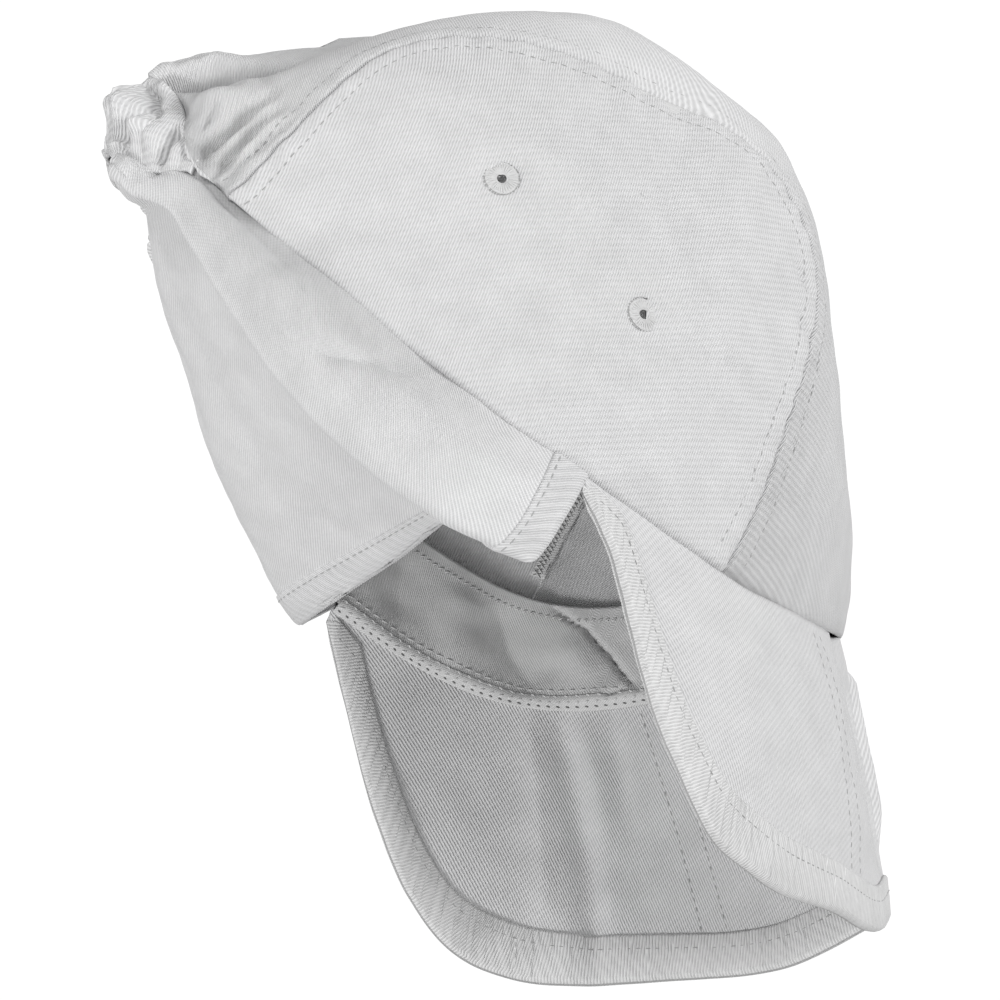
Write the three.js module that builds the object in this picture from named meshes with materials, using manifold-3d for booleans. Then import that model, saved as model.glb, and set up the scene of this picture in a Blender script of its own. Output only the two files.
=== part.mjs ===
// A legionnaire cap of white cotton twill: a soft crown of three panels, a folding peak with a bound
// edge, a gathered elastic back and a neck flap that is tucked forward under the head opening.
// Millimetres, +Z up through the crown, the peak towards -Y, the wearer's right side towards -X.
// The origin is the middle of the head opening, at the level of the ears.
import * as THREE from "three";
import { mergeVertices } from "three/addons/utils/BufferGeometryUtils.js";
import Module from "manifold-3d";

const wasm = await Module();
wasm.setup();

// Head opening
const RIM_FRONT = 107; // from the ears forward to the middle of the forehead
const RIM_BACK = 119; // from the ears back to the middle of the nape
const RIM_HALF_WIDTH = 73.5;
const RIM_RISE = 42; // how far the rim climbs from the ears to the front and to the back
const RIM_FULLNESS_FRONT = 4; // 2 is an ellipse, 1 is a wedge
const RIM_FULLNESS_BACK = 1.4;
const RIM_ROUNDING = 0.93; // below 1 the two ends of the rim are rounded
const RIM_DIP_FRONT = 3.6; // how suddenly the rim climbs towards the forehead
const RIM_DIP_BACK = 1.6; // and towards the nape

// Crown
const CROWN_HEIGHT = 140; // ears to the top
const CROWN_TOP_BACK = 4; // how far behind the ears the top lies
const CROWN_ROUNDING = 0.75; // how much rounder the crown is than its rim
const ROUNDING_REACH = 0.35; // share of the way up by which it has rounded
const SIDE_FULLNESS = 2.2; // exponent of the crown's outline over the ears
const FRONT_FULLNESS = 1.35; // and over the forehead
const BACK_FULLNESS = 1.3; // and over the nape
const FULLNESS_START = 0.45; // share of the way to the front or back where it begins to change
const CLOTH = 1.5; // two layers of twill with their seam
const GAP = 0.3; // between pieces that meet

// Peak
const PEAK_LENGTH = 73; // along its middle fold
const PEAK_SLOPE = 50; // degrees that the fold points below the horizontal
const PEAK_FLARE = 5.5; // how far each side stands out beyond the rim
const PEAK_SIDE_REACH = 78; // from the ear forward to the corner
const PEAK_SIDE_DROP = 59; // from the ear down to the corner
const PEAK_THICKNESS = 2.2;
const PEAK_ARCH = 3; // how far each half swells between the crown and its free edge
const PEAK_END = 0.965; // share of the way to the ear point at which its sheet stops
const EAR_POINT = -0.06; // where the peak and the flap meet, as a share of the way to the front
const EAR_OUT = 1; // from the rim out to the end of the peak's free edge
const EAR_DROP = 2; // and down to it

const BINDING_WIDTH = 15;
const BINDING_CLOTH = 0.9;
const BINDING_EASE = 0.8; // between the peak's faces and the binding
const BINDING_SEAT = 3; // from the binding's outer edge to the edge of the peak inside it
const BINDING_ROUND = 0.8; // rounding of its outer edge
const BINDING_COVER = 0.8; // the most of the peak's length that it covers, near the ears

// Sweatband
const SWEATBAND_WIDTH = 26;
const SWEATBAND_THICKNESS = 1.2;
const SWEATBAND_CLEARANCE = 1.4; // where it curves inside the crown
const SWEATBAND_LIFT = 1.2; // its lower edge above the rim
const SWEATBAND_END = 0.62; // share of the way from the ear to the nape

// Eyelets
const EYELET_DIAMETER = 9;
const EYELET_HOLE = 2;
const EYELET_THICKNESS = 2.1; // at its raised rim

// Gathered back
const CASING_HEIGHT = 24; // at the nape
const CASING_BULGE = 4; // how far the ruffles stand out
const CASING_START = 0.84; // share of the way from the ear to the nape
const CASING_FULL = 0.97; // the same, where it has its full height
const CASING_INSET = 0.02; // how far its ends stop short of where it starts
const CASING_LEAST = 0.12; // its height at the ends as a share of that at the nape
const CASING_FAN_FROM = 0.55; // share of the way to the nape that its ruffles fan out from
const CASING_FAN = 1.6; // how much more they turn sideways than that
const CASING_PLEATS = 5;
const PLEAT_DEPTH = 1.6;
const PLEAT_SPACING = 13; // of the gathers that run up the crown from the nape
const PLEAT_LENGTH = 0.3; // as a share of the way to the top
const PLEAT_START = 0.66; // share of the way from the ear to the nape
const PLEAT_FULL = 0.85; // the same, where they are at their deepest

// Neck flap
const FLAP_ROLL_DROP = 33; // how far the right side hangs before it turns under
const FLAP_ROLL_OUT = 7; // how far the right side bellies out
const FLAP_TUCK = 30; // how far in the right side turns before it spreads out again
const FLAP_SAG = 24; // how far the tucked part hangs below the rim on the left
const FLAP_HEM = 10;
const FLAP_HEM_THICKNESS = 2.4;

// Mesh density
const SEAM_STEPS = 28;
const SIDE_RIM_STEPS = 18;
const SIDE_RINGS = 6;
const CENTRE_END_ROWS = 7;
const CENTRE_COLUMNS = 12;
const PEAK_STEPS = 22;
const PEAK_ROWS = 4;
const BAND_STEPS = 56;
const BAND_ROWS = 3;
const CASING_STEPS = 48;
const CASING_ROWS = 4;
const FLAP_STEPS = 28;
const FLAP_COLUMNS = 24;
const EYELET_SIDES = 12;
const SIDE_MIDDLE_OUT = 0.62; // middle of the side panel's rings, as a share of the half width
const SIDE_MIDDLE_BACK = 6; // and behind the top

// Where the seams of the side panels run: round is -1 at the forehead, 0 at the ear and 1 at the
// nape, and up is 0 at the rim and 1 at the top.
const SEAM = [
  { round: -0.48, up: 0 },
  { round: -0.49, up: 0.08 },
  { round: -0.5, up: 0.2 },
  { round: -0.53, up: 0.31 },
  { round: -0.53, up: 0.42 },
  { round: -0.45, up: 0.52 },
  { round: -0.28, up: 0.59 },
  { round: -0.1, up: 0.6 },
  { round: 0.17, up: 0.56 },
  { round: 0.36, up: 0.52 },
  { round: 0.48, up: 0.47 },
  { round: 0.6, up: 0.41 },
  { round: 0.665, up: 0.33 },
  { round: 0.7, up: 0.22 },
  { round: 0.74, up: 0.12 },
  { round: 0.78, up: 0 },
];

const EYELETS = [
  { name: "front", round: -0.02, up: 0.2 },
  { name: "rear", round: 0.36, up: 0.23 },
];

// The outline of an eyelet's ring, outwards from the hole: hole and edge are shares of the hole's and
// the ring's own radius, and up of half its thickness.
const EYELET_RING = [
  { hole: 1, edge: 0, up: -0.6 },
  { hole: 0, edge: 1, up: -0.6 },
  { hole: 0, edge: 1, up: 0.4 },
  { hole: 0, edge: 0.86, up: 1 },
  { hole: 1.5, edge: 0, up: 1 },
  { hole: 1, edge: 0, up: 0.5 },
  { hole: 1, edge: 0, up: -0.6 },
];

// The free edge of the peak's right half, from the tip to the ear. out is a share of the half span,
// ahead of the side reach measured from the ear and down of the side drop.
const PEAK_EDGE = [
  { out: 0.3, ahead: 1.78, down: 0.5 },
  { out: 0.578, ahead: 1.54, down: 0.71 },
  { out: 0.766, ahead: 1.3, down: 0.9 },
  { out: 0.87, ahead: 1.15, down: 0.97 },
  { out: 0.94, ahead: 0.96, down: 0.99 },
  { out: 0.985, ahead: 0.75, down: 0.87 },
  { out: 1, ahead: 0.5, down: 0.63 },
  { out: 1, ahead: 0.22, down: 0.28 },
];

// The neck flap's sections from the nape to the free edge. round is the rim point where each side
// starts. The other columns are shares of the flap's named drops: roll is how fully the right side
// hangs, out how far it bellies, tuck how far it turns in, sag how far the left side hangs, and
// lean how far forward the section's underside lies, as a share of the rim's length.
const FLAP_SECTIONS = [
  { round: 0.985, roll: 0.04, out: 0, tuck: 0, sag: 0.04, lean: 0.01 },
  { round: 0.93, roll: 0.22, out: 0.15, tuck: 0.05, sag: 0.12, lean: 0.01 },
  { round: 0.85, roll: 0.42, out: 0.35, tuck: 0.25, sag: 0.22, lean: 0.005 },
  { round: 0.72, roll: 0.62, out: 0.6, tuck: 0.6, sag: 0.36, lean: 0 },
  { round: 0.54, roll: 0.88, out: 0.85, tuck: 0.85, sag: 0.54, lean: 0.01 },
  { round: 0.36, roll: 0.97, out: 1, tuck: 1, sag: 0.75, lean: 0.01 },
  { round: 0.18, roll: 0.98, out: 0.8, tuck: 1, sag: 0.9, lean: 0.01 },
  { round: 0.02, roll: 0.9, out: 0.45, tuck: 0.9, sag: 0.95, lean: -0.02 },
  { round: -0.08, roll: 0.84, out: 0.15, tuck: 0.75, sag: 0.95, lean: -0.059 },
];

// The line of one section, from the right rim to the left. side runs from -1 at the right rim to 1 at
// the left, and the other columns say how much of the section's own drops applies.
const FLAP_LINE = [
  { side: -1, out: 0, tuck: 0, roll: 0, sag: 0, lean: 0 },
  { side: -1, out: 0.8, tuck: 0, roll: 0.42, sag: 0, lean: 0 },
  { side: -1, out: 0.75, tuck: 0, roll: 0.8, sag: 0, lean: 0 },
  { side: -1, out: 0.1, tuck: 0, roll: 1, sag: 0, lean: 0.1 },
  { side: -1, out: 0, tuck: 0.45, roll: 0.72, sag: 0, lean: 0.6 },
  { side: -1, out: 0, tuck: 1, roll: 0.42, sag: 0, lean: 1 },
  { side: -0.225, out: 0, tuck: 0.5, roll: 0.21, sag: 0.5, lean: 1 },
  { side: 0.55, out: 0, tuck: 0, roll: 0, sag: 1, lean: 1 },
  { side: 0.8, out: 0, tuck: 0, roll: 0, sag: 0.62, lean: 0.6 },
  { side: 1, out: 0, tuck: 0, roll: 0, sag: 0, lean: 0 },
];

const UP = new THREE.Vector3(0, 0, 1);
const PEAK_HALF_SPAN = RIM_HALF_WIDTH + PEAK_FLARE;
// The way each half of the peak swells, on the wearer's right.
const PEAK_SWELL = new THREE.Vector3(-0.7, -0.5, 0.5);
const clamp = THREE.MathUtils.clamp;
const lerp = THREE.MathUtils.lerp;
const smooth = (value, start, end) => THREE.MathUtils.smoothstep(value, start, end);

// A smooth value between the rows of a table, with key as the column that is looked up.
function column(table, key, at, name) {
  const last = table.length - 1;
  const rising = table[last][key] > table[0][key];
  let i = 0;
  while (i < last - 1 && (rising ? table[i + 1][key] < at : table[i + 1][key] > at)) i += 1;
  const span = table[i + 1][key] - table[i][key];
  const part = clamp((at - table[i][key]) / span, 0, 1);
  const before = table[Math.max(i - 1, 0)][name];
  const after = table[Math.min(i + 2, last)][name];
  const a = table[i][name];
  const b = table[i + 1][name];
  return catmull(before, a, b, after, part);
}

function catmull(before, a, b, after, part) {
  const slopeA = (b - before) / 2;
  const slopeB = (after - a) / 2;
  const t2 = part * part;
  const t3 = t2 * part;
  return (2 * t3 - 3 * t2 + 1) * a + (t3 - 2 * t2 + part) * slopeA
    + (3 * t2 - 2 * t3) * b + (t3 - t2) * slopeB;
}

// The rim on the wearer's right, from round = -1 at the forehead to 1 at the nape.
function rim(round) {
  const share = Math.abs(round);
  const fullness = round < 0 ? RIM_FULLNESS_FRONT : RIM_FULLNESS_BACK;
  const width = Math.pow(Math.max(1 - Math.pow(share, fullness), 0), RIM_ROUNDING);
  const along = round < 0 ? RIM_FRONT * round : RIM_BACK * round;
  const climb = Math.pow(share, round < 0 ? RIM_DIP_FRONT : RIM_DIP_BACK);
  return new THREE.Vector3(-RIM_HALF_WIDTH * width, along, RIM_RISE * climb);
}

// The rim point that lies in a direction seen from above, measured from the crown's top.
function roundTowards(angle) {
  let low = -1;
  let high = 1;
  for (let i = 0; i < 44; i += 1) {
    const middle = (low + high) / 2;
    const point = rim(middle);
    if (Math.atan2(point.y - CROWN_TOP_BACK, -point.x) < angle) low = middle;
    else high = middle;
  }
  return (low + high) / 2;
}

function fullnessAt(round) {
  const end = round < 0 ? FRONT_FULLNESS : BACK_FULLNESS;
  return lerp(SIDE_FULLNESS, end, smooth(Math.abs(round), FULLNESS_START, 1));
}

// The crown as a height over a flat map. The map is the rim's own plan, measured from the top, so
// its border is the rim and its middle is the top of the crown.
function crown(mapX, mapY) {
  const side = mapX > 0 ? -1 : 1;
  const angle = Math.atan2(mapY, Math.abs(mapX));
  const round = roundTowards(angle);
  const foot = rim(round);
  const footRadius = Math.hypot(foot.x, foot.y - CROWN_TOP_BACK);
  const up = clamp(1 - Math.hypot(mapX, mapY) / footRadius, 0, 1);
  const length = mapY < 0 ? RIM_FRONT + CROWN_TOP_BACK : RIM_BACK - CROWN_TOP_BACK;
  const roundRadius = 1 / Math.hypot(Math.cos(angle) / RIM_HALF_WIDTH, Math.sin(angle) / length);
  const rounded = CROWN_ROUNDING * smooth(up, 0, ROUNDING_REACH);
  const radius = lerp(footRadius, roundRadius, rounded);
  const fullness = fullnessAt(round);
  const inward = Math.pow(Math.cos((up * Math.PI) / 2), 2 / fullness);
  const upward = Math.pow(Math.sin((up * Math.PI) / 2), 2 / fullness);
  const gathered = smooth(round, PLEAT_START, PLEAT_FULL) * (1 - smooth(up, 0, PLEAT_LENGTH));
  const pleat = PLEAT_DEPTH * gathered * Math.cos((2 * Math.PI * mapX) / PLEAT_SPACING);
  const base = foot.z + (casingShare(round) * CASING_HEIGHT) / 2;
  return new THREE.Vector3(
    -side * (radius * inward + pleat) * Math.cos(angle),
    CROWN_TOP_BACK + (radius * inward + pleat) * Math.sin(angle),
    lerp(base, CROWN_HEIGHT, upward),
  );
}

function crownNormal(mapX, mapY) {
  const step = 0.4;
  const x = clamp(mapX, -RIM_HALF_WIDTH + 1, RIM_HALF_WIDTH - 1);
  const alongX = crown(x + step, mapY).sub(crown(x - step, mapY));
  const alongY = crown(x, mapY + step).sub(crown(x, mapY - step));
  return alongX.cross(alongY).normalize();
}

// A place on the map, from the way round and the way up.
function mapPoint(round, up, side = 1) {
  const foot = rim(round);
  return { x: side * foot.x * (1 - up), y: (foot.y - CROWN_TOP_BACK) * (1 - up) };
}

// How far the gathered casing has grown at a rim point, from 0 to 1.
function casingShare(round) {
  return smooth(round, CASING_START, CASING_FULL);
}

// A closed solid from two lattices of points, outer and inner, with walls round its border. Rows or
// columns that shrink to a point are allowed, and a wrapped lattice joins its first and last column.
function shell(columns, rows, outerAt, innerAt, wrapped = false) {
  const positions = [];
  const faces = [];
  const index = (layer, i, j) => layer * (columns + 1) * (rows + 1) + j * (columns + 1) + i;
  for (const at of [outerAt, innerAt])
    for (let j = 0; j <= rows; j += 1)
      for (let i = 0; i <= columns; i += 1) {
        const column0 = wrapped && i === columns ? 0 : i;
        positions.push(...at(column0 / columns, j / rows).toArray());
      }
  const quad = (a, b, c, d) => faces.push(a, b, c, a, c, d);
  for (let j = 0; j < rows; j += 1)
    for (let i = 0; i < columns; i += 1) {
      quad(index(0, i, j), index(0, i + 1, j), index(0, i + 1, j + 1), index(0, i, j + 1));
      quad(index(1, i, j), index(1, i, j + 1), index(1, i + 1, j + 1), index(1, i + 1, j));
    }
  for (let i = 0; i < columns; i += 1) {
    quad(index(1, i, 0), index(1, i + 1, 0), index(0, i + 1, 0), index(0, i, 0));
    quad(index(0, i, rows), index(0, i + 1, rows), index(1, i + 1, rows), index(1, i, rows));
  }
  if (!wrapped)
    for (let j = 0; j < rows; j += 1) {
      quad(index(0, 0, j), index(0, 0, j + 1), index(1, 0, j + 1), index(1, 0, j));
      const [inside, outside] = [index(1, columns, j), index(0, columns, j)];
      quad(inside, index(1, columns, j + 1), index(0, columns, j + 1), outside);
    }
  return closed(positions, faces);
}

// Shared vertices merged, faces that shrank to nothing dropped, and turned to face out.
function closed(positions, faces) {
  const rough = new THREE.BufferGeometry();
  rough.setAttribute("position", new THREE.Float32BufferAttribute(positions, 3));
  rough.setIndex(faces);
  const merged = mergeVertices(rough, 1e-3);
  const corners = merged.index.array;
  const point = merged.attributes.position;
  const kept = [];
  let volume = 0;
  const a = new THREE.Vector3();
  const b = new THREE.Vector3();
  const c = new THREE.Vector3();
  for (let i = 0; i < corners.length; i += 3) {
    const [p, q, r] = [corners[i], corners[i + 1], corners[i + 2]];
    if (p === q || q === r || r === p) continue;
    kept.push(p, q, r);
    a.fromBufferAttribute(point, p);
    b.fromBufferAttribute(point, q);
    c.fromBufferAttribute(point, r);
    volume += a.dot(b.cross(c));
  }
  if (volume < 0)
    for (let i = 0; i < kept.length; i += 3) [kept[i + 1], kept[i + 2]] = [kept[i + 2], kept[i + 1]];
  merged.setIndex(kept);
  return merged;
}

function toSolid(geometry) {
  const bare = new THREE.BufferGeometry();
  bare.setAttribute("position", geometry.attributes.position);
  bare.setIndex(geometry.index);
  const merged = mergeVertices(bare, 1e-3);
  return new wasm.Manifold(new wasm.Mesh({
    numProp: 3,
    vertProperties: new Float32Array(merged.attributes.position.array),
    triVerts: new Uint32Array(merged.index.array),
  }));
}

function toGeometry(solid) {
  const mesh = solid.getMesh();
  const geometry = new THREE.BufferGeometry();
  geometry.setAttribute("position", new THREE.Float32BufferAttribute(mesh.vertProperties, 3));
  geometry.setIndex([...mesh.triVerts]);
  return geometry;
}

const twill = (color, roughness) =>
  new THREE.MeshStandardMaterial({ color, roughness, metalness: 0 });
const materials = {
  cloth: twill(0xe6e6e6, 0.9),
  binding: twill(0xe2e2e2, 0.85),
  sweatband: twill(0xd2d2d2, 0.95),
  thread: twill(0xdcdcdc, 0.7),
};

const cap = new THREE.Group();
function add(name, geometry, material) {
  geometry.computeVertexNormals();
  const mesh = new THREE.Mesh(geometry, material);
  mesh.name = name;
  cap.add(mesh);
  return mesh;
}

// The seam between the side and centre panels, as a curve on the map.
const seamCurve = new THREE.CatmullRomCurve3(
  SEAM.map(({ round, up }) => {
    const { x, y } = mapPoint(round, up);
    return new THREE.Vector3(x, y, 0);
  }),
  false,
  "centripetal",
);

// The seam's own corners, which both panels share so that their gap is even.
const seamPoints = seamCurve.getPoints(SEAM_STEPS);

// The side panel's border on the map: along the rim from the front to the back, then back over the
// seam, drawn in a little so that the panels keep their gap.
function sideBorder() {
  const border = [];
  for (let i = 0; i < SIDE_RIM_STEPS; i += 1) {
    const round = lerp(SEAM[0].round, SEAM[SEAM.length - 1].round, i / SIDE_RIM_STEPS);
    const { x, y } = mapPoint(round, 0);
    border.push(new THREE.Vector2(i === 0 ? x - GAP : x, y));
  }
  for (let i = SEAM_STEPS; i > 0; i -= 1)
    border.push(new THREE.Vector2(seamPoints[i].x - GAP / 2, seamPoints[i].y));
  return border;
}

function faceAt(place, offset, side = 1) {
  const point = crown(place.x, place.y);
  point.addScaledVector(crownNormal(place.x, place.y), offset);
  point.x *= side;
  return point;
}

function sidePanel(side) {
  const middle = new THREE.Vector2(-RIM_HALF_WIDTH * SIDE_MIDDLE_OUT, SIDE_MIDDLE_BACK);
  const border = sideBorder();
  const place = (part, ring) =>
    middle.clone().lerp(border[Math.round(part * border.length)], ring);
  const panel = shell(
    border.length,
    SIDE_RINGS,
    (part, ring) => faceAt(place(part, ring), CLOTH / 2, side),
    (part, ring) => faceAt(place(part, ring), -CLOTH / 2, side),
    true,
  );
  return EYELETS.reduce((solid, eyelet) => {
    const { x, y } = mapPoint(eyelet.round, eyelet.up);
    const hole = placed(eyeletPlug(), faceAt({ x, y }, 0, side), outwards(x, y, side));
    return solid.subtract(toSolid(hole));
  }, toSolid(panel));
}

function outwards(x, y, side) {
  const normal = crownNormal(x, y);
  normal.x *= side;
  return normal;
}

// Both are turned about Z, with the plug cutting the hole that the ring sits in.
function eyeletPlug() {
  const radius = EYELET_DIAMETER / 2 + GAP;
  return new THREE.CylinderGeometry(radius, radius, CLOTH * 4, EYELET_SIDES).rotateX(Math.PI / 2);
}

function eyeletRing() {
  const outline = EYELET_RING.map(({ hole, edge, up }) => new THREE.Vector2(
    (hole * EYELET_HOLE + edge * EYELET_DIAMETER) / 2,
    (up * EYELET_THICKNESS) / 2,
  ));
  const ring = new THREE.LatheGeometry(outline, EYELET_SIDES);
  ring.rotateX(Math.PI / 2);
  return closed([...ring.attributes.position.array], [...ring.index.array]);
}

function placed(geometry, point, direction) {
  const turn = new THREE.Quaternion().setFromUnitVectors(UP, direction);
  return geometry.applyMatrix4(new THREE.Matrix4().compose(point, turn, new THREE.Vector3(1, 1, 1)));
}

// The centre panel runs from the forehead over the top to the nape. Its half width on the map is
// the rim's where it reaches the rim and the seam's elsewhere.
function centreRows() {
  const row = (round) => {
    const { x, y } = mapPoint(round, 0);
    return { x: -x, y };
  };
  const rows = [];
  for (let i = 0; i < CENTRE_END_ROWS; i += 1) {
    const share = Math.sin(((i / CENTRE_END_ROWS) * Math.PI) / 2);
    rows.push(row(lerp(-1, SEAM[0].round, share)));
  }
  for (const point of seamPoints) rows.push({ x: -point.x - GAP / 2, y: point.y });
  for (let i = 1; i <= CENTRE_END_ROWS; i += 1)
    rows.push(row(lerp(SEAM[SEAM.length - 1].round, 1, i / CENTRE_END_ROWS)));
  return rows;
}

function centrePanel() {
  const rows = centreRows();
  const steps = rows.length - 1;
  const face = (offset) => (part, across) => {
    const { x, y } = rows[Math.round(part * steps)];
    return faceAt({ x: (across * 2 - 1) * x, y }, offset);
  };
  return shell(steps, CENTRE_COLUMNS, face(CLOTH / 2), face(-CLOTH / 2));
}

// The sweatband lines the rim inside, from behind one ear round the forehead to behind the other.
function sweatband() {
  const place = (part, height) => {
    const turned = lerp(-1, 1, part);
    const round = lerp(-1, SWEATBAND_END, Math.abs(turned));
    const foot = rim(round);
    const { x, y } = mapPoint(round, 0);
    const wall = CROWN_HEIGHT - foot.z;
    const depth = (height * SWEATBAND_WIDTH + SWEATBAND_LIFT) / wall;
    const up = (2 / Math.PI) * Math.asin(Math.pow(depth, fullnessAt(round) / 2));
    return { x: x * (1 - up) * (turned > 0 ? -1 : 1), y: y * (1 - up) };
  };
  const middle = -(CLOTH / 2 + SWEATBAND_CLEARANCE + SWEATBAND_THICKNESS / 2);
  return shell(
    BAND_STEPS,
    BAND_ROWS,
    (part, height) => faceAt(place(part, height), middle + SWEATBAND_THICKNESS / 2),
    (part, height) => faceAt(place(part, height), middle - SWEATBAND_THICKNESS / 2),
  );
}

// The peak. Each half is a sheet between the rim and its free edge.
const tipDown = THREE.MathUtils.degToRad(PEAK_SLOPE);
const peakTip = new THREE.Vector3(
  0,
  -RIM_FRONT - PEAK_LENGTH * Math.cos(tipDown),
  RIM_RISE - PEAK_LENGTH * Math.sin(tipDown),
);
const ear = rim(EAR_POINT);
const peakEdge = new THREE.CatmullRomCurve3(
  [
    peakTip,
    ...PEAK_EDGE.map(({ out, ahead, down }) => new THREE.Vector3(
      -PEAK_HALF_SPAN * out,
      ear.y - PEAK_SIDE_REACH * ahead,
      -PEAK_SIDE_DROP * down,
    )),
    ear.clone().add(new THREE.Vector3(-EAR_OUT, 0, -EAR_DROP)),
  ],
  false,
  "centripetal",
);

function peakPoint(part, depth) {
  const start = rim(lerp(-1, EAR_POINT, part));
  start.z -= CLOTH / 2 + GAP;
  const end = peakEdge.getPointAt(part);
  const swell = Math.sin(Math.PI * depth) * Math.sin(Math.PI * Math.sqrt(part)) * PEAK_ARCH;
  return start.lerp(end, depth).addScaledVector(PEAK_SWELL, swell);
}

function peakNormal(part, depth) {
  const step = 0.004;
  const p = clamp(part, 0.02, 0.93);
  const alongPart = peakPoint(p + step, depth).sub(peakPoint(p - step, depth));
  const alongDepth = peakPoint(p, depth + step).sub(peakPoint(p, depth - step));
  return alongPart.cross(alongDepth).normalize();
}

function peakFace(turned, depth, offset) {
  const part = Math.abs(turned);
  const point = peakPoint(part, depth);
  const normal = peakNormal(part, depth);
  if (part < 1e-6) normal.x = 0;
  point.addScaledVector(normal, offset);
  if (turned > 0) point.x *= -1;
  return point;
}

// How long the peak is at a place along its free edge, and how wide its binding is there.
function edgeAt(turned) {
  const share = Math.abs(turned);
  const length = peakPoint(share, 1).distanceTo(peakPoint(share, 0));
  return { length, width: Math.min(BINDING_WIDTH, length * BINDING_COVER) };
}

// The peak's rows end at the binding's inner edge and then inside its fold.
function peakDepth(turned, row) {
  const { length, width } = edgeAt(turned);
  const lastRow = (PEAK_ROWS - 1) / PEAK_ROWS;
  if (row > lastRow + 1e-6) return 1 - Math.min(BINDING_SEAT, width / 2) / length;
  return (row / lastRow) * (1 - width / length);
}

function peak() {
  const face = (offset) => (part, row) => {
    const turned = lerp(-PEAK_END, PEAK_END, part);
    return peakFace(turned, peakDepth(turned, row), offset);
  };
  return shell(PEAK_STEPS * 2, PEAK_ROWS, face(PEAK_THICKNESS / 2), face(-PEAK_THICKNESS / 2));
}

// The binding folds over the peak's free edge, as a channel that the peak's edge sits in.
function binding() {
  const slot = PEAK_THICKNESS / 2 + BINDING_EASE;
  const outer = slot + BINDING_CLOTH;
  const fold = BINDING_CLOTH / BINDING_WIDTH;
  const round = BINDING_ROUND / BINDING_WIDTH;
  const section = [
    { inward: 0, offset: outer / 2 },
    { inward: round, offset: outer },
    { inward: 1, offset: outer },
    { inward: 1, offset: slot },
    { inward: fold, offset: slot },
    { inward: fold, offset: -slot },
    { inward: 1, offset: -slot },
    { inward: 1, offset: -outer },
    { inward: round, offset: -outer },
    { inward: 0, offset: -outer / 2 },
  ];
  const positions = [];
  const faces = [];
  const steps = PEAK_STEPS * 2;
  for (let i = 0; i <= steps; i += 1) {
    const turned = lerp(-PEAK_END, PEAK_END, i / steps);
    const { length, width } = edgeAt(turned);
    for (const { inward, offset } of section)
      positions.push(...peakFace(turned, 1 - (inward * width) / length, offset).toArray());
  }
  const count = section.length;
  for (let i = 0; i < steps; i += 1)
    for (let j = 0; j < count; j += 1) {
      const next = (j + 1) % count;
      const [a, b] = [i * count + j, i * count + next];
      faces.push(a, b, b + count, a, b + count, a + count);
    }
  const arms = [[1, 2, 3], [1, 3, 4], [5, 6, 7], [5, 7, 8]];
  const bend = [[0, 1, 4], [0, 4, 5], [0, 5, 8], [0, 8, 9]];
  const last = steps * count;
  for (const [a, b, c] of [...arms, ...bend])
    faces.push(c, b, a, last + a, last + b, last + c);
  return closed(positions, faces);
}

// The gathered casing of the elastic, a ruffled roll round the nape between the crown and the flap.
function casing() {
  const place = (part, height, offset) => {
    const turned = lerp(-1, 1, part);
    const round = lerp(1, CASING_START + CASING_INSET, Math.abs(turned));
    const share = Math.max(casingShare(round), CASING_LEAST);
    const foot = rim(round);
    const behind = foot.y - RIM_BACK * CASING_FAN_FROM;
    const away = new THREE.Vector3(foot.x * CASING_FAN, behind, 0).normalize();
    const ruffle = Math.cos(Math.abs(turned) * Math.PI * CASING_PLEATS) * PLEAT_DEPTH;
    const swell = Math.sin(Math.PI * height) * (CASING_BULGE * share + ruffle * share);
    const tall = CASING_HEIGHT * share - 4 * GAP - CLOTH;
    const point = foot.clone().addScaledVector(away, swell + offset - CLOTH / 2);
    point.z += (height - 0.5) * tall;
    if (turned > 0) point.x *= -1;
    return point;
  };
  return shell(
    CASING_STEPS,
    CASING_ROWS,
    (part, height) => place(part, height, CLOTH),
    (part, height) => place(part, height, 0),
  );
}

// The neck flap. At each section a smooth line runs from the right rim down the rolled side, turns
// under, spreads across below the opening and climbs to the left rim.
function flapSection(part) {
  const round = lerp(FLAP_SECTIONS[0].round, FLAP_SECTIONS[FLAP_SECTIONS.length - 1].round, part);
  const at = (name) => column(FLAP_SECTIONS, "round", round, name);
  const foot = rim(round);
  const drop = FLAP_ROLL_DROP * at("roll");
  const out = FLAP_ROLL_OUT * at("out");
  const tuck = FLAP_TUCK * at("tuck");
  const sag = FLAP_SAG * at("sag");
  const lean = -at("lean") * (RIM_FRONT + RIM_BACK);
  const top = foot.z - CLOTH / 2 - GAP - (casingShare(round) * CASING_HEIGHT) / 2;
  return new THREE.CatmullRomCurve3(
    FLAP_LINE.map((line) => new THREE.Vector3(
      -foot.x * line.side - out * line.out + tuck * line.tuck,
      foot.y + lean * line.lean,
      top - drop * line.roll - sag * line.sag,
    )),
    false,
    "centripetal",
  );
}

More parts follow.
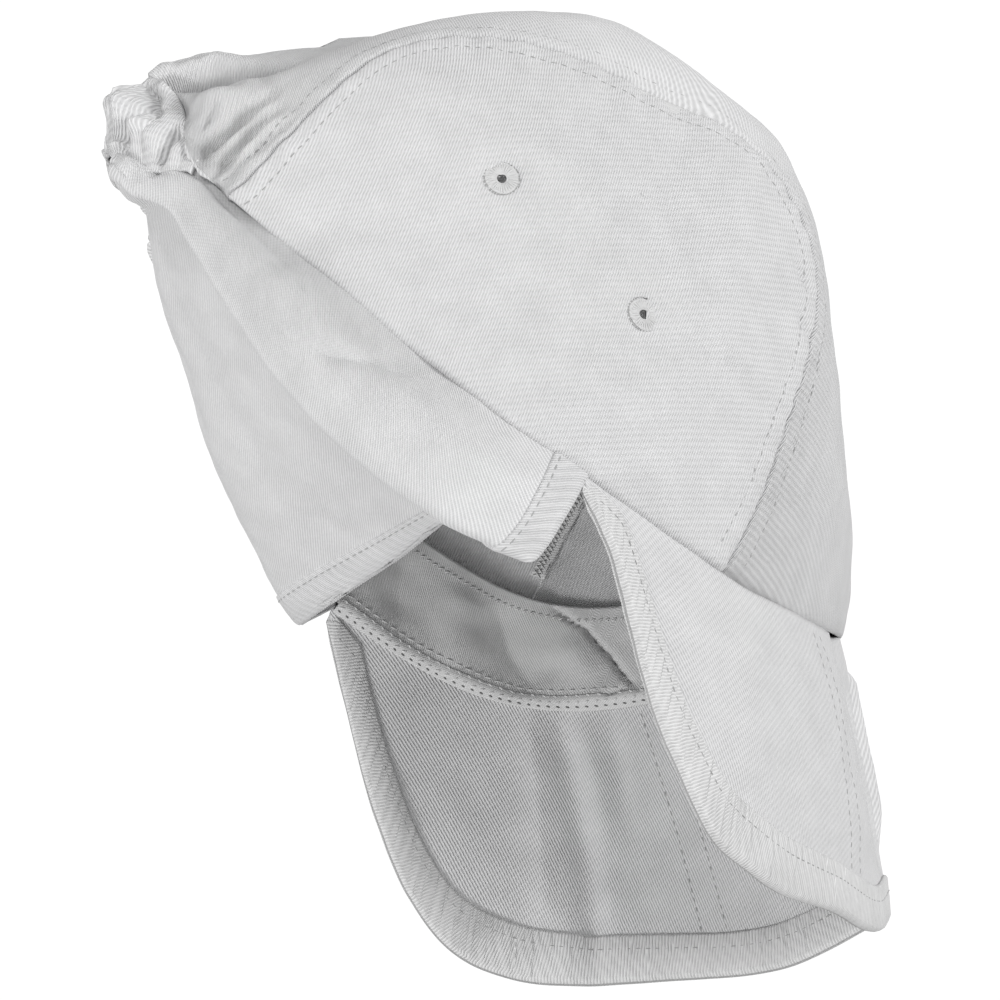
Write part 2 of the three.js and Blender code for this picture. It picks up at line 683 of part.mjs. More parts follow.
function flap() {
  const sections = [];
  for (let i = 0; i <= FLAP_STEPS; i += 1) sections.push(flapSection(i / FLAP_STEPS));
  const reach = sections[0].getPoint(0).distanceTo(sections[FLAP_STEPS].getPoint(0));
  const hemStart = 1 - FLAP_HEM / reach;
  const at = (along, across) => sections[Math.round(along * FLAP_STEPS)].getPoint(across);
  const normalAt = (along, across) => {
    const stepA = 1 / FLAP_STEPS;
    const stepB = 0.01;
    const a = clamp(along, stepA, 1 - stepA);
    const b = clamp(across, stepB, 1 - stepB);
    const down = at(a + stepA, across).sub(at(a - stepA, across));
    const over = at(along, b + stepB).sub(at(along, b - stepB));
    return over.cross(down).normalize();
  };
  const hemmed = (along) => smooth(along, hemStart - 1 / FLAP_STEPS, hemStart);
  const thick = (along) => lerp(CLOTH, FLAP_HEM_THICKNESS, hemmed(along));
  const face = (side) => (along, across) => at(along, across)
    .addScaledVector(normalAt(along, across), (side * thick(along)) / 2);
  return shell(FLAP_STEPS, FLAP_COLUMNS, face(1), face(-1));
}

for (const [side, word] of [[1, "right"], [-1, "left"]]) {
  add("crown_side_" + word, toGeometry(sidePanel(side)), materials.cloth);
  for (const { name, round, up } of EYELETS) {
    const { x, y } = mapPoint(round, up);
    const ring = placed(eyeletRing(), faceAt({ x, y }, 0, side), outwards(x, y, side));
    add(`eyelet_${word}_${name}`, ring, materials.thread);
  }
}
add("crown_centre_panel", centrePanel(), materials.cloth);
add("sweatband", sweatband(), materials.sweatband);
add("peak", peak(), materials.cloth);
add("peak_binding", binding(), materials.binding);
add("elastic_casing", casing(), materials.cloth);
add("neck_flap", flap(), materials.cloth);

export default cap;
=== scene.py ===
# The looks of the legionnaire cap: white cotton twill with its seams, topstitching, gathers,
# ribbed binding and overlocked edges. Lengths are in millimetres until a mesh is made.
import math

import bpy
import numpy as np
from mathutils import Matrix, Vector


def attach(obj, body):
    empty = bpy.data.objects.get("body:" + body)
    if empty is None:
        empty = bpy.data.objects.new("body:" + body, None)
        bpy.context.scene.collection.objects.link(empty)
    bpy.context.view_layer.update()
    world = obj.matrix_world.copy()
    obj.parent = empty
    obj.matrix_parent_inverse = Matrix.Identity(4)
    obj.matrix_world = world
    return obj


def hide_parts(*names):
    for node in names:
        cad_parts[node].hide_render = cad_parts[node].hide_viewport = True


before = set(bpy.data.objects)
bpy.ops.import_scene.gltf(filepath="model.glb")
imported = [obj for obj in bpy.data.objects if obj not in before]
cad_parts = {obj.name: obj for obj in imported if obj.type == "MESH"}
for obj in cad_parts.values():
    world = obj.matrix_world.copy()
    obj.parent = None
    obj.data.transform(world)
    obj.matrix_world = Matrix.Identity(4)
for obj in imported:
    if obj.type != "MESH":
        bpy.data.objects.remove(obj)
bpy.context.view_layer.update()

MM = 0.001

# Sizes of the solids
RIM_FRONT = 107
RIM_BACK = 119
RIM_HALF_WIDTH = 73.5
RIM_RISE = 42
RIM_FULLNESS_FRONT = 4
RIM_FULLNESS_BACK = 1.4
RIM_ROUNDING = 0.93
RIM_DIP_FRONT = 3.6
RIM_DIP_BACK = 1.6
CROWN_HEIGHT = 140
CROWN_TOP_BACK = 4
CROWN_ROUNDING = 0.75
ROUNDING_REACH = 0.35
SIDE_FULLNESS = 2.2
FRONT_FULLNESS = 1.35
BACK_FULLNESS = 1.3
FULLNESS_START = 0.45
CLOTH = 1.5
PEAK_LENGTH = 73
PEAK_SLOPE = 50
PEAK_HALF_SPAN = 79
PEAK_SIDE_REACH = 78
PEAK_SIDE_DROP = 59
PEAK_THICKNESS = 2.2
PEAK_ARCH = 3
PEAK_SWELL = np.array([-0.7, -0.5, 0.5])
PEAK_END = 0.985
EAR_POINT = -0.06
BINDING_WIDTH = 15
BINDING_TIP_WIDTH = 11.5
BINDING_CLEARANCE = 0.05
BINDING_CLOTH = 0.95
SWEATBAND_WIDTH = 26
SWEATBAND_END = 0.62
SWEATBAND_INSET = 2.0
EYELET_DIAMETER = 9
EYELET_HOLE = 2
EYELET_THREADS = 34
CASING_HEIGHT = 24
CASING_BULGE = 4
CASING_START = 0.84
CASING_FULL = 0.97
CASING_INSET = 0.02
CASING_LEAST = 0.12
CASING_FAN_FROM = 0.55
CASING_FAN = 1.6
PLEAT_DEPTH = 1.6
PLEAT_SPACING = 13
PLEAT_LENGTH = 0.3
PLEAT_START = 0.66
PLEAT_FULL = 0.85
FLAP_ROLL_DROP = 33
FLAP_ROLL_OUT = 7
FLAP_TUCK = 30
FLAP_SAG = 24
FLAP_HEM = 10
TOPSTITCH_OFFSET = 4.7

# Columns: round, up
SEAM = np.array([
    (-0.48, 0), (-0.49, 0.08), (-0.5, 0.2), (-0.53, 0.31), (-0.53, 0.42), (-0.45, 0.52),
    (-0.28, 0.59), (-0.1, 0.6), (0.17, 0.56), (0.36, 0.52), (0.48, 0.47), (0.6, 0.41),
    (0.665, 0.33), (0.7, 0.22), (0.74, 0.12), (0.78, 0),
])
EYELETS = [("front", -0.02, 0.2), ("rear", 0.36, 0.23)]
# Columns: out, ahead, down
PEAK_EDGE = np.array([
    (0.3, 1.78, 0.5), (0.578, 1.54, 0.71), (0.766, 1.3, 0.9), (0.87, 1.15, 0.97),
    (0.94, 0.96, 0.99), (0.985, 0.75, 0.87), (1, 0.5, 0.63), (1, 0.22, 0.28),
])
# Columns: round, roll, out, tuck, sag, lean
FLAP_SECTIONS = np.array([
    (0.985, 0.04, 0, 0, 0.04, 0.01), (0.93, 0.22, 0.15, 0.05, 0.12, 0.01),
    (0.85, 0.42, 0.35, 0.25, 0.22, 0.005), (0.72, 0.62, 0.6, 0.6, 0.36, 0),
    (0.54, 0.88, 0.85, 0.85, 0.54, 0.01), (0.36, 0.97, 1, 1, 0.75, 0.01),
    (0.18, 0.98, 0.8, 1, 0.9, 0.01), (0.02, 0.9, 0.45, 0.9, 0.95, -0.02),
    (-0.08, 0.84, 0.15, 0.75, 0.95, -0.059),
])
# Columns: side, out, tuck, roll, sag, lean
FLAP_LINE = np.array([
    (-1, 0, 0, 0, 0, 0), (-1, 0.8, 0, 0.42, 0, 0), (-1, 0.75, 0, 0.8, 0, 0),
    (-1, 0.1, 0, 1, 0, 0.1), (-1, 0, 0.45, 0.72, 0, 0.6), (-1, 0, 1, 0.42, 0, 1),
    (-0.225, 0, 0.5, 0.21, 0.5, 1), (0.55, 0, 0, 0, 1, 1), (0.8, 0, 0, 0, 0.62, 0.6),
    (1, 0, 0, 0, 0, 0),
])


def smooth(value, start, end):
    part = np.clip((value - start) / (end - start), 0, 1)
    return part * part * (3 - 2 * part)


def lerp(a, b, part):
    return a + (b - a) * part


def unit(vectors):
    length = np.linalg.norm(vectors, axis=-1, keepdims=True)
    return vectors / np.maximum(length, 1e-9)


def rim(turned):
    """A point of the head opening on the wearer's right, from -1 at the forehead to 1 at the nape."""
    turned = np.asarray(turned, float)
    share = np.abs(turned)
    front = turned < 0
    fullness = np.where(front, RIM_FULLNESS_FRONT, RIM_FULLNESS_BACK)
    width = np.maximum(1 - share ** fullness, 0) ** RIM_ROUNDING
    along = np.where(front, RIM_FRONT, RIM_BACK) * turned
    climb = share ** np.where(front, RIM_DIP_FRONT, RIM_DIP_BACK)
    return np.stack([-RIM_HALF_WIDTH * width, along, RIM_RISE * climb], axis=-1)


ROUNDS = np.linspace(-1, 1, 6001)
RIM_POINTS = rim(ROUNDS)
RIM_ANGLES = np.arctan2(RIM_POINTS[:, 1] - CROWN_TOP_BACK, -RIM_POINTS[:, 0])


def casing_share(turned):
    return smooth(turned, CASING_START, CASING_FULL)


def map_point(turned, up):
    foot = rim(turned)
    up = np.asarray(up, float)
    return np.stack([foot[..., 0] * (1 - up), (foot[..., 1] - CROWN_TOP_BACK) * (1 - up)], axis=-1)


def map_place(place):
    """Where a place on the map lies: its way round and its way up."""
    angle = np.arctan2(place[..., 1], np.abs(place[..., 0]))
    turned = np.interp(angle, RIM_ANGLES, ROUNDS)
    foot = rim(turned)
    foot_radius = np.hypot(foot[..., 0], foot[..., 1] - CROWN_TOP_BACK)
    up = np.clip(1 - np.hypot(place[..., 0], place[..., 1]) / foot_radius, 0, 1)
    return angle, turned, foot, foot_radius, up


def crown(place):
    angle, turned, foot, foot_radius, up = map_place(place)
    side = np.where(place[..., 0] > 0, -1, 1)
    length = np.where(place[..., 1] < 0, RIM_FRONT + CROWN_TOP_BACK, RIM_BACK - CROWN_TOP_BACK)
    round_radius = 1 / np.hypot(np.cos(angle) / RIM_HALF_WIDTH, np.sin(angle) / length)
    radius = lerp(foot_radius, round_radius, CROWN_ROUNDING * smooth(up, 0, ROUNDING_REACH))
    end = np.where(turned < 0, FRONT_FULLNESS, BACK_FULLNESS)
    fullness = lerp(SIDE_FULLNESS, end, smooth(np.abs(turned), FULLNESS_START, 1))
    inward = np.maximum(np.cos(up * np.pi / 2), 0) ** (2 / fullness)
    upward = np.sin(up * np.pi / 2) ** (2 / fullness)
    gathered = smooth(turned, PLEAT_START, PLEAT_FULL) * (1 - smooth(up, 0, PLEAT_LENGTH))
    pleat = PLEAT_DEPTH * gathered * np.cos(2 * np.pi * place[..., 0] / PLEAT_SPACING)
    base = foot[..., 2] + casing_share(turned) * CASING_HEIGHT / 2
    reach = radius * inward + pleat
    return np.stack([
        -side * reach * np.cos(angle),
        CROWN_TOP_BACK + reach * np.sin(angle),
        lerp(base, CROWN_HEIGHT, upward),
    ], axis=-1)


def crown_normal(place):
    step = 0.4
    middle = place.copy()
    middle[..., 0] = np.clip(middle[..., 0], -RIM_HALF_WIDTH + 1, RIM_HALF_WIDTH - 1)
    over = np.array([step, 0.0])
    along = np.array([0.0, step])
    by_x = crown(middle + over) - crown(middle - over)
    by_y = crown(middle + along) - crown(middle - along)
    return unit(np.cross(by_x, by_y))


def spline(points, steps):
    """A centripetal curve through points, at even steps of its parameter."""
    points = np.asarray(points, float)
    before = 2 * points[0] - points[1]
    after = 2 * points[-1] - points[-2]
    line = np.concatenate([[before], points, [after]])
    span = np.maximum(np.sum((line[1:] - line[:-1]) ** 2, axis=-1) ** 0.25, 1e-4)
    at = np.linspace(0, len(points) - 1, steps + 1)
    cell = np.minimum(at.astype(int), len(points) - 2)
    part = (at - cell)[:, None]
    p0, p1, p2, p3 = line[cell], line[cell + 1], line[cell + 2], line[cell + 3]
    d0, d1, d2 = span[cell][:, None], span[cell + 1][:, None], span[cell + 2][:, None]
    leave = ((p1 - p0) / d0 - (p2 - p0) / (d0 + d1) + (p2 - p1) / d1) * d1
    arrive = ((p2 - p1) / d1 - (p3 - p1) / (d1 + d2) + (p3 - p2) / d2) * d1
    return (p1 + leave * part + (-3 * p1 + 3 * p2 - 2 * leave - arrive) * part ** 2
            + (2 * p1 - 2 * p2 + leave + arrive) * part ** 3)


def lengths(line):
    return np.concatenate([[0], np.cumsum(np.linalg.norm(np.diff(line, axis=0), axis=-1))])


def along(line, shares):
    """Points of a line at shares of its length."""
    run = lengths(line)
    at = np.asarray(shares) * run[-1]
    return np.stack([np.interp(at, run, line[:, k]) for k in range(line.shape[1])], axis=-1)


def columns_at(table, at):
    """The other columns of a table at values of its first, smoothly between its rows."""
    keys = table[:, 0]
    cell = np.clip(np.searchsorted(-keys, -at, side="right") - 1, 0, len(keys) - 2)
    part = np.clip((at - keys[cell]) / (keys[cell + 1] - keys[cell]), 0, 1)[:, None]
    values = table[:, 1:]
    last = len(keys) - 1
    a, b = values[cell], values[cell + 1]
    slope_a = (b - values[np.maximum(cell - 1, 0)]) / 2
    slope_b = (values[np.minimum(cell + 2, last)] - a) / 2
    t2, t3 = part ** 2, part ** 3
    return ((2 * t3 - 3 * t2 + 1) * a + (t3 - 2 * t2 + part) * slope_a
            + (3 * t2 - 2 * t3) * b + (t3 - t2) * slope_b)


def grid_normals(grid):
    rows = np.gradient(grid, axis=0)
    columns = np.gradient(grid, axis=1)
    return unit(np.cross(rows, columns))


def grid_lengths(grid):
    """Lengths over a lattice of cloth in metres, for the weave."""
    rows = np.cumsum(np.linalg.norm(np.diff(grid, axis=0, prepend=grid[:1]), axis=-1), axis=0)
    columns = np.cumsum(np.linalg.norm(np.diff(grid, axis=1, prepend=grid[:, :1]), axis=-1), axis=1)
    middle = columns[:, grid.shape[1] // 2][:, None]
    return np.stack([rows[:, grid.shape[1] // 2][:, None] + 0 * columns, columns - middle], axis=-1) * MM


def noise(points, size, seed):
    """Smooth noise from -1 to 1 with features of about a size, the same each time."""
    rng = np.random.default_rng(seed)
    total = np.zeros(points.shape[:-1])
    for _ in range(7):
        way = rng.normal(size=points.shape[-1])
        way *= rng.uniform(0.6, 1.5) / np.linalg.norm(way)
        total += np.sin(points @ way * 2 * np.pi / size + rng.uniform(0, 2 * np.pi))
    return total / 3.5


def bump(distance, width):
    return np.exp(-(distance / width) ** 2)


# How many points nearest() measures at a time
BLOCK = 4000


def nearest(points, line):
    """How far each point lies from a line, and how far along the line that is."""
    flat = points.reshape(-1, 3)
    run = lengths(line)
    away = np.empty(len(flat))
    where = np.empty(len(flat))
    for start in range(0, len(flat), BLOCK):
        block = flat[start:start + BLOCK]
        gaps = np.linalg.norm(block[:, None] - line[None], axis=-1)
        best = gaps.argmin(axis=1)
        away[start:start + BLOCK] = gaps[np.arange(len(block)), best]
        where[start:start + BLOCK] = run[best]
    return away.reshape(points.shape[:-1]), where.reshape(points.shape[:-1])


def make(name, points, faces, uv=None, material=None, slot=None, stands_for=(), flat=False):
    mesh = bpy.data.meshes.new(name)
    points = np.asarray(points, float).reshape(-1, 3)
    mesh.from_pydata((points * MM).tolist(), [], np.asarray(faces).tolist())
    if uv is not None:
        layer = mesh.uv_layers.new(name="cloth")
        corners = np.empty(len(mesh.loops), dtype=np.int32)
        mesh.loops.foreach_get("vertex_index", corners)
        layer.data.foreach_set("uv", np.asarray(uv, float).reshape(-1, 2)[corners].ravel())
    mesh.polygons.foreach_set("use_smooth", np.full(len(mesh.polygons), not flat))
    mesh.validate()
    mesh.update()
    piece = bpy.data.objects.new(name, mesh)
    bpy.context.collection.objects.link(piece)
    mesh.materials.append(material)
    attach(piece, "root")
    if stands_for:
        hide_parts(*stands_for)
    return piece


def lattice_faces(rows, columns, wrapped, start=0, turned=False):
    i, j = np.meshgrid(np.arange(rows - 1), np.arange(columns if wrapped else columns - 1), indexing="ij")
    a = start + i * columns + j
    b = start + i * columns + (j + 1) % columns
    quads = np.stack([a, b, b + columns, a + columns], axis=-1).reshape(-1, 4)
    return quads[:, ::-1] if turned else quads


def cloth(name, middle, normals, over, under, wrapped=False, uv=None, holes=(), **rest):
    """A closed sheet of cloth about a lattice: over and under are how far its faces lie from it,
    and holes are the cells of the lattice that are cut out."""
    rows, columns = middle.shape[:2]
    over = np.broadcast_to(over, (rows, columns))[..., None]
    under = np.broadcast_to(under, (rows, columns))[..., None]
    top = middle + normals * over
    bottom = middle - normals * under
    count = rows * columns
    cells = columns if wrapped else columns - 1
    keep = np.ones((rows - 1) * cells, bool)
    edges = []
    for i, j in holes:
        keep[i * cells + j] = False
        a, b = i * columns + j, i * columns + (j + 1) % columns
        ring = np.array([a, a + columns, b + columns, b])
        ahead = np.roll(ring, -1)
        edges.append(np.stack([ring, ahead, ahead + count, ring + count], axis=-1))
    faces = [
        lattice_faces(rows, columns, wrapped)[keep],
        lattice_faces(rows, columns, wrapped, count, True)[keep],
    ]
    step = np.arange(cells)
    after = (step + 1) % columns
    last = (rows - 1) * columns
    edges.append(np.stack([step, step + count, after + count, after], axis=-1))
    edges.append(np.stack([last + step, last + after, last + after + count, last + step + count], axis=-1))
    if not wrapped:
        down = np.arange(rows - 1) * columns
        edges.append(np.stack([down, down + columns, down + columns + count, down + count], axis=-1))
        right = down + columns - 1
        edges.append(np.stack([right, right + count, right + columns + count, right + columns], axis=-1))
    faces = np.concatenate(faces + edges)
    if uv is None:
        uv = grid_lengths(middle)
    points = np.concatenate([top.reshape(-1, 3), bottom.reshape(-1, 3)])
    return make(name, points, faces, uv=np.concatenate([uv.reshape(-1, 2)] * 2), **rest)


THREADS = {}


def stitch_row(group, line, normals, pitch=2.7, length=2.0, radius=0.22, lift=0.12, lean=0):
    """Stitches along a line, kept under a group's name. lean turns each one, in degrees."""
    lean = math.radians(lean)
    run = lengths(line)
    count = max(int(run[-1] / pitch), 1)
    centres = (np.arange(count) + 0.5) * run[-1] / count
    at = lambda places, values: np.stack([np.interp(places, run, values[:, k]) for k in range(3)], axis=-1)
    middle = at(centres, line)
    ahead = unit(at(np.minimum(centres + 0.4, run[-1]), line) - at(np.maximum(centres - 0.4, 0), line))
    up = unit(at(centres, normals))
    across = unit(np.cross(up, ahead))
    way = unit(ahead * math.cos(lean) + across * math.sin(lean))
    side = unit(np.cross(up, way))
    rng = np.random.default_rng(len(THREADS.get(group, [])) + count)
    for k in range(count):
        stretch = length * rng.uniform(0.93, 1.07)
        stitch = (middle[k] + up[k] * lift, way[k], up[k], side[k], stretch, radius)
        THREADS.setdefault(group, []).append(stitch)


# A stitch as rings along its length. Columns: place, thickness, sink
STITCH = np.array([
    (-0.5, 0.35, -1.6), (-0.4, 0.85, -0.5), (-0.15, 1, 0),
    (0.15, 1, 0), (0.4, 0.85, -0.5), (0.5, 0.35, -1.6),
])
STITCH_SIDES = 5


def sew(name, group, material, slot):
    """All the stitches of a group as one piece."""
    points, faces = [], []
    angles = np.arange(STITCH_SIDES) * 2 * np.pi / STITCH_SIDES
    rings = len(STITCH)
    base = lattice_faces(rings, STITCH_SIDES, True)
    for centre, way, up, side, length, radius in THREADS.get(group, []):
        start = len(points) * rings * STITCH_SIDES
        ring = (np.cos(angles)[:, None] * side + np.sin(angles)[:, None] * up) * radius
        points.append(np.concatenate([
            centre + way * place * length + up * sink * radius + ring * thick for place, thick, sink in STITCH
        ]))
        faces.append(base + start)
    return make(name, np.concatenate(points), np.concatenate(faces), material=material, slot=slot)


# The scale at which Blender's wave texture has one wave in each unit
ONE_WAVE = 1 / 3.1831


def cotton(name, colour, rib=0.65, depth=1.0, angle=45, weave_shade_and_mottle=0.2):
    """Twill: ribs at an angle over a faint cross weave, with slubs; its colour is darker in the grooves and
    lighter on the ribs as painted shade and light, and slightly uneven at random.
    """
    angle = math.radians(angle)
    material = bpy.data.materials.new(name)
    material.use_nodes = True
    nodes, links = material.node_tree.nodes, material.node_tree.links
    shader = nodes["Principled BSDF"]
    shader.inputs["Roughness"].default_value = 0.95
    shader.inputs["Sheen Weight"].default_value = 0.1
    shader.inputs["Specular IOR Level"].default_value = 0.2
    place = nodes.new("ShaderNodeUVMap")
    place.uv_map = "cloth"

    def wave(turn, size, distortion):
        mapping = nodes.new("ShaderNodeMapping")
        mapping.inputs["Rotation"].default_value = (0, 0, turn)
        mapping.inputs["Scale"].default_value = (1 / (size * MM),) * 3
        links.new(place.outputs["UV"], mapping.inputs["Vector"])
        texture = nodes.new("ShaderNodeTexWave")
        texture.wave_profile = "SIN"
        texture.inputs["Scale"].default_value = ONE_WAVE
        texture.inputs["Distortion"].default_value = distortion
        texture.inputs["Detail"].default_value = 2
        texture.inputs["Detail Scale"].default_value = 0.6
        links.new(mapping.outputs["Vector"], texture.inputs["Vector"])
        return texture.outputs["Fac"]

    def speckle(size, detail):
        texture = nodes.new("ShaderNodeTexNoise")
        texture.inputs["Scale"].default_value = 1 / (size * MM)
        texture.inputs["Detail"].default_value = detail
        links.new(place.outputs["UV"], texture.inputs["Vector"])
        return texture.outputs["Fac"]

    def mixed(a, b, share):
        mix = nodes.new("ShaderNodeMix")
        mix.inputs["Factor"].default_value = share
        links.new(a, mix.inputs["A"])
        links.new(b, mix.inputs["B"])
        return mix.outputs["Result"]

    ribs = wave(angle, rib, 0.9)
    height = mixed(mixed(ribs, wave(-angle, rib * 0.8, 0.8), 0.2), speckle(rib * 1.6, 3), 0.3)
    relief = nodes.new("ShaderNodeBump")
    relief.inputs["Strength"].default_value = depth
    relief.inputs["Distance"].default_value = 0.3 * MM
    links.new(height, relief.inputs["Height"])
    links.new(relief.outputs["Normal"], shader.inputs["Normal"])
    # The colour follows the weave's height: painted shade in its grooves and painted light on its ribs, mixed
    # with a larger speckle of uneven tone
    tint = nodes.new("ShaderNodeMix")
    tint.data_type = "RGBA"
    tint.inputs["A"].default_value = (*[c * (1 - weave_shade_and_mottle * 2) for c in colour], 1)
    tint.inputs["B"].default_value = (*[min(c * (1 + weave_shade_and_mottle), 1) for c in colour], 1)
    links.new(mixed(height, speckle(9, 5), 0.3), tint.inputs["Factor"])
    links.new(tint.outputs["Result"], shader.inputs["Base Color"])
    return material


def thread(name, colour):
    material = bpy.data.materials.new(name)
    material.use_nodes = True
    nodes, links = material.node_tree.nodes, material.node_tree.links
    shader = nodes["Principled BSDF"]
    shader.inputs["Roughness"].default_value = 0.6
    place = nodes.new("ShaderNodeTexCoord")
    texture = nodes.new("ShaderNodeTexNoise")
    texture.inputs["Scale"].default_value = 900
    ramp = nodes.new("ShaderNodeMix")
    ramp.data_type = "RGBA"
    ramp.inputs["A"].default_value = (*[c * 0.86 for c in colour], 1)
    ramp.inputs["B"].default_value = (*colour, 1)
    links.new(place.outputs["Object"], texture.inputs["Vector"])
    links.new(texture.outputs["Fac"], ramp.inputs["Factor"])
    links.new(ramp.outputs["Result"], shader.inputs["Base Color"])
    relief = nodes.new("ShaderNodeBump")
    relief.inputs["Distance"].default_value = 0.05 * MM
    links.new(texture.outputs["Fac"], relief.inputs["Height"])
    links.new(relief.outputs["Normal"], shader.inputs["Normal"])
    return material


WHITE = (0.78, 0.78, 0.785)
twill = cotton("twill", WHITE, angle=8)
slant_twill = cotton("flap_twill", WHITE, angle=36)
peak_twill = cotton("peak_twill", WHITE, angle=-10)
hem_twill = cotton("hem_twill", WHITE, rib=0.8, angle=90)
ribbed = cotton("ribbed_twill", (0.78, 0.78, 0.78), rib=0.85, angle=4, weave_shade_and_mottle=0.22)
band_cloth = cotton("band_cotton", (0.74, 0.74, 0.74), rib=0.5, depth=0.5, weave_shade_and_mottle=0.12)
cotton_thread = thread("cotton_thread", (0.78, 0.78, 0.78))
# The topstitching thread, drawn mid grey: its darkness is painted shade standing in for the needle holes
# along the seams
seam_thread = thread("seam_thread", (0.42, 0.42, 0.42))
eyelet_thread = thread("eyelet_thread", (0.7, 0.7, 0.7))
# Near-black threads: painted shade standing in for the shadowed needle holes beside the stitches
hole_shade_thread = thread("hole_shade_thread", (0.16, 0.16, 0.16))
inner_thread = thread("inner_thread", (0.66, 0.66, 0.66))

# Seams of the side panels
seam_map = spline(map_point(SEAM[:, 0], SEAM[:, 1]), 900)
seam_map = along(seam_map, np.linspace(0, 1, 301))
seam_line = crown(seam_map)
# Mirrors a point of the wearer's right to the left
left = np.array([-1.0, 1.0, 1.0])


# Folds of the crown. Each has its depth, its width and the points of its line, as round and up.
RIGHT_FOLDS = [
    (-3.4, 8, [(1.0, 0.2), (1.0, 0.3), (1.0, 0.42)]),
    (-6.5, 1.9, [(0.99, 0.0), (0.957, 0.09), (0.927, 0.182), (0.893, 0.27), (0.86, 0.33)]),
    (2.6, 3.0, [(0.985, 0.1), (0.965, 0.18), (0.94, 0.24)]),
    (4.2, 4.0, [(0.905, 0.06), (0.885, 0.15), (0.865, 0.235)]),
    (-3.0, 0.9, [(0.875, 0.1), (0.872, 0.16)]),
    (-4.6, 1.5, [(0.862, 0.01), (0.848, 0.092), (0.828, 0.16), (0.815, 0.215), (0.8, 0.26)]),
    (2.2, 1.3, [(0.843, 0.02), (0.833, 0.08), (0.812, 0.152), (0.788, 0.21)]),
    (-3.0, 1.0, [(0.828, 0.01), (0.82, 0.068), (0.795, 0.15), (0.77, 0.22)]),
    (1.6, 1.2, [(0.81, 0.03), (0.785, 0.12), (0.755, 0.2)]),
    (-2.0, 0.9, [(0.798, 0.05), (0.762, 0.14), (0.72, 0.205)]),
    (-1.8, 15, [(0.1, 0.62), (0.06, 0.45), (0.02, 0.27), (-0.05, 0.1)]),
    (1.0, 12, [(-0.16, 0.6), (-0.2, 0.4), (-0.22, 0.2)]),
    (-0.9, 10, [(0.3, 0.5), (0.24, 0.3), (0.2, 0.1)]),
    (-1.4, 1.6, [(-0.4, 0.44), (-0.47, 0.415), (-0.52, 0.4)]),
    (-1.1, 1.4, [(-0.45, 0.36), (-0.53, 0.34)]),
]
LEFT_FOLDS = [
    (-3.6, 1.8, [(0.97, 0.02), (0.93, 0.12), (0.88, 0.24)]),
    (2.4, 3.2, [(0.93, 0.05), (0.9, 0.14), (0.86, 0.22)]),
    (-2.8, 1.5, [(0.89, 0.0), (0.85, 0.12), (0.79, 0.24)]),
    (1.6, 1.5, [(0.865, 0.0), (0.825, 0.12), (0.78, 0.2)]),
    (-2.0, 1.1, [(0.84, 0.0), (0.8, 0.1), (0.76, 0.18)]),
    (-1.2, 14, [(0.2, 0.6), (0.14, 0.4), (0.1, 0.15)]),
    (-0.9, 10, [(-0.3, 0.5), (-0.24, 0.25), (-0.2, 0.1)]),
]
rim_line = rim(np.linspace(-1, 1, 701))


def crease(points, line, depth, width, fade=9):
    """A fold along a line, deepest in its middle and gone a little past its ends."""
    away, where = nearest(points, line)
    run = lengths(line)[-1]
    ease = min(fade, run / 2)
    shape = smooth(where, -fade * 0.2, ease) * (1 - smooth(where, run - ease, run + fade * 0.2))
    sharp = 1.25 if depth < 0 else 2
    return depth * np.exp(-(away / width) ** sharp) * (0.15 + 0.85 * shape)


def crown_relief(points):
    """How far the crown's outer face rises: welts and puckers by the seams, gathers and soft folds."""
    folded = points * np.where(points[..., :1] > 0, left, 1)
    away, where = nearest(folded, seam_line)
    pucker = 0.5 * np.sin(where * 2 * np.pi / 8.5 + 1.5 * np.sin(where / 19)) * np.exp(-away / 7)
    pucker *= 0.3 + 0.7 * smooth(noise(folded, 46, 3), -0.4, 0.6)
    welt = 0.4 * smooth(away, 0, 0.8) * (1 - smooth(away, 4.6, 6.2)) - 0.4 * bump(away, 0.5)
    welt -= 0.35 * bump(away - TOPSTITCH_OFFSET, 0.6)
    edge, _ = nearest(folded, rim_line)
    hem = 0.15 * (1 - smooth(edge, 3.5, 6.5)) - 0.5 * bump(edge, 0.6)
    soft = 0.7 * noise(points, 62, 11) + 0.3 * noise(points, 24, 12) + 0.1 * noise(points, 9, 13)
    gathered = smooth(points[..., 1], 76, 100) * (1 - smooth(points[..., 2], 52, 78))
    crumple = 0.9 * noise(points, 13, 14) + 0.5 * noise(points, 6, 15)
    relief = pucker + welt + hem + soft * (0.25 + 0.75 * smooth(edge, 1, 14)) + gathered * crumple
    for is_right, folds in ((True, RIGHT_FOLDS), (False, LEFT_FOLDS)):
        for depth, width, line in folds:
            table = np.array(line)
            width = width * (1 + 0.2 * noise(points, 17, int(abs(depth) * 10)))
            places = along(table, np.linspace(0, 1, 40))
            path = crown(map_point(places[:, 0], places[:, 1]))
            path = path if is_right else path * left
            relief = relief + crease(points, path, depth, width)
    return relief


def offset_on_map(path, distance):
    """A path on the crown's map moved sideways by a real distance over the cloth."""
    step = 0.05
    over, ahead = np.array([step, 0.0]), np.array([0.0, step])
    by_x = (crown(path + over) - crown(path - over)) / (2 * step)
    by_y = (crown(path + ahead) - crown(path - ahead)) / (2 * step)
    tangent = unit(np.gradient(crown(path), axis=0))
    sideways = np.cross(crown_normal(path), tangent)
    jacobian = np.stack([by_x, by_y], axis=-1)
    moves = np.einsum("nij,nj->ni", np.linalg.pinv(jacobian), sideways * distance)
    return path + moves


def crown_stitches(path, side):
    line, normals = crown(path), crown_normal(path)
    line = line + normals * (CLOTH / 2 + crown_relief(line * (left if side < 0 else 1))[:, None])
    if side < 0:
        line, normals = line * left, normals * left
    stitch_row("crown", line, normals, pitch=2.8, length=1.9, radius=0.19, lift=0.0)


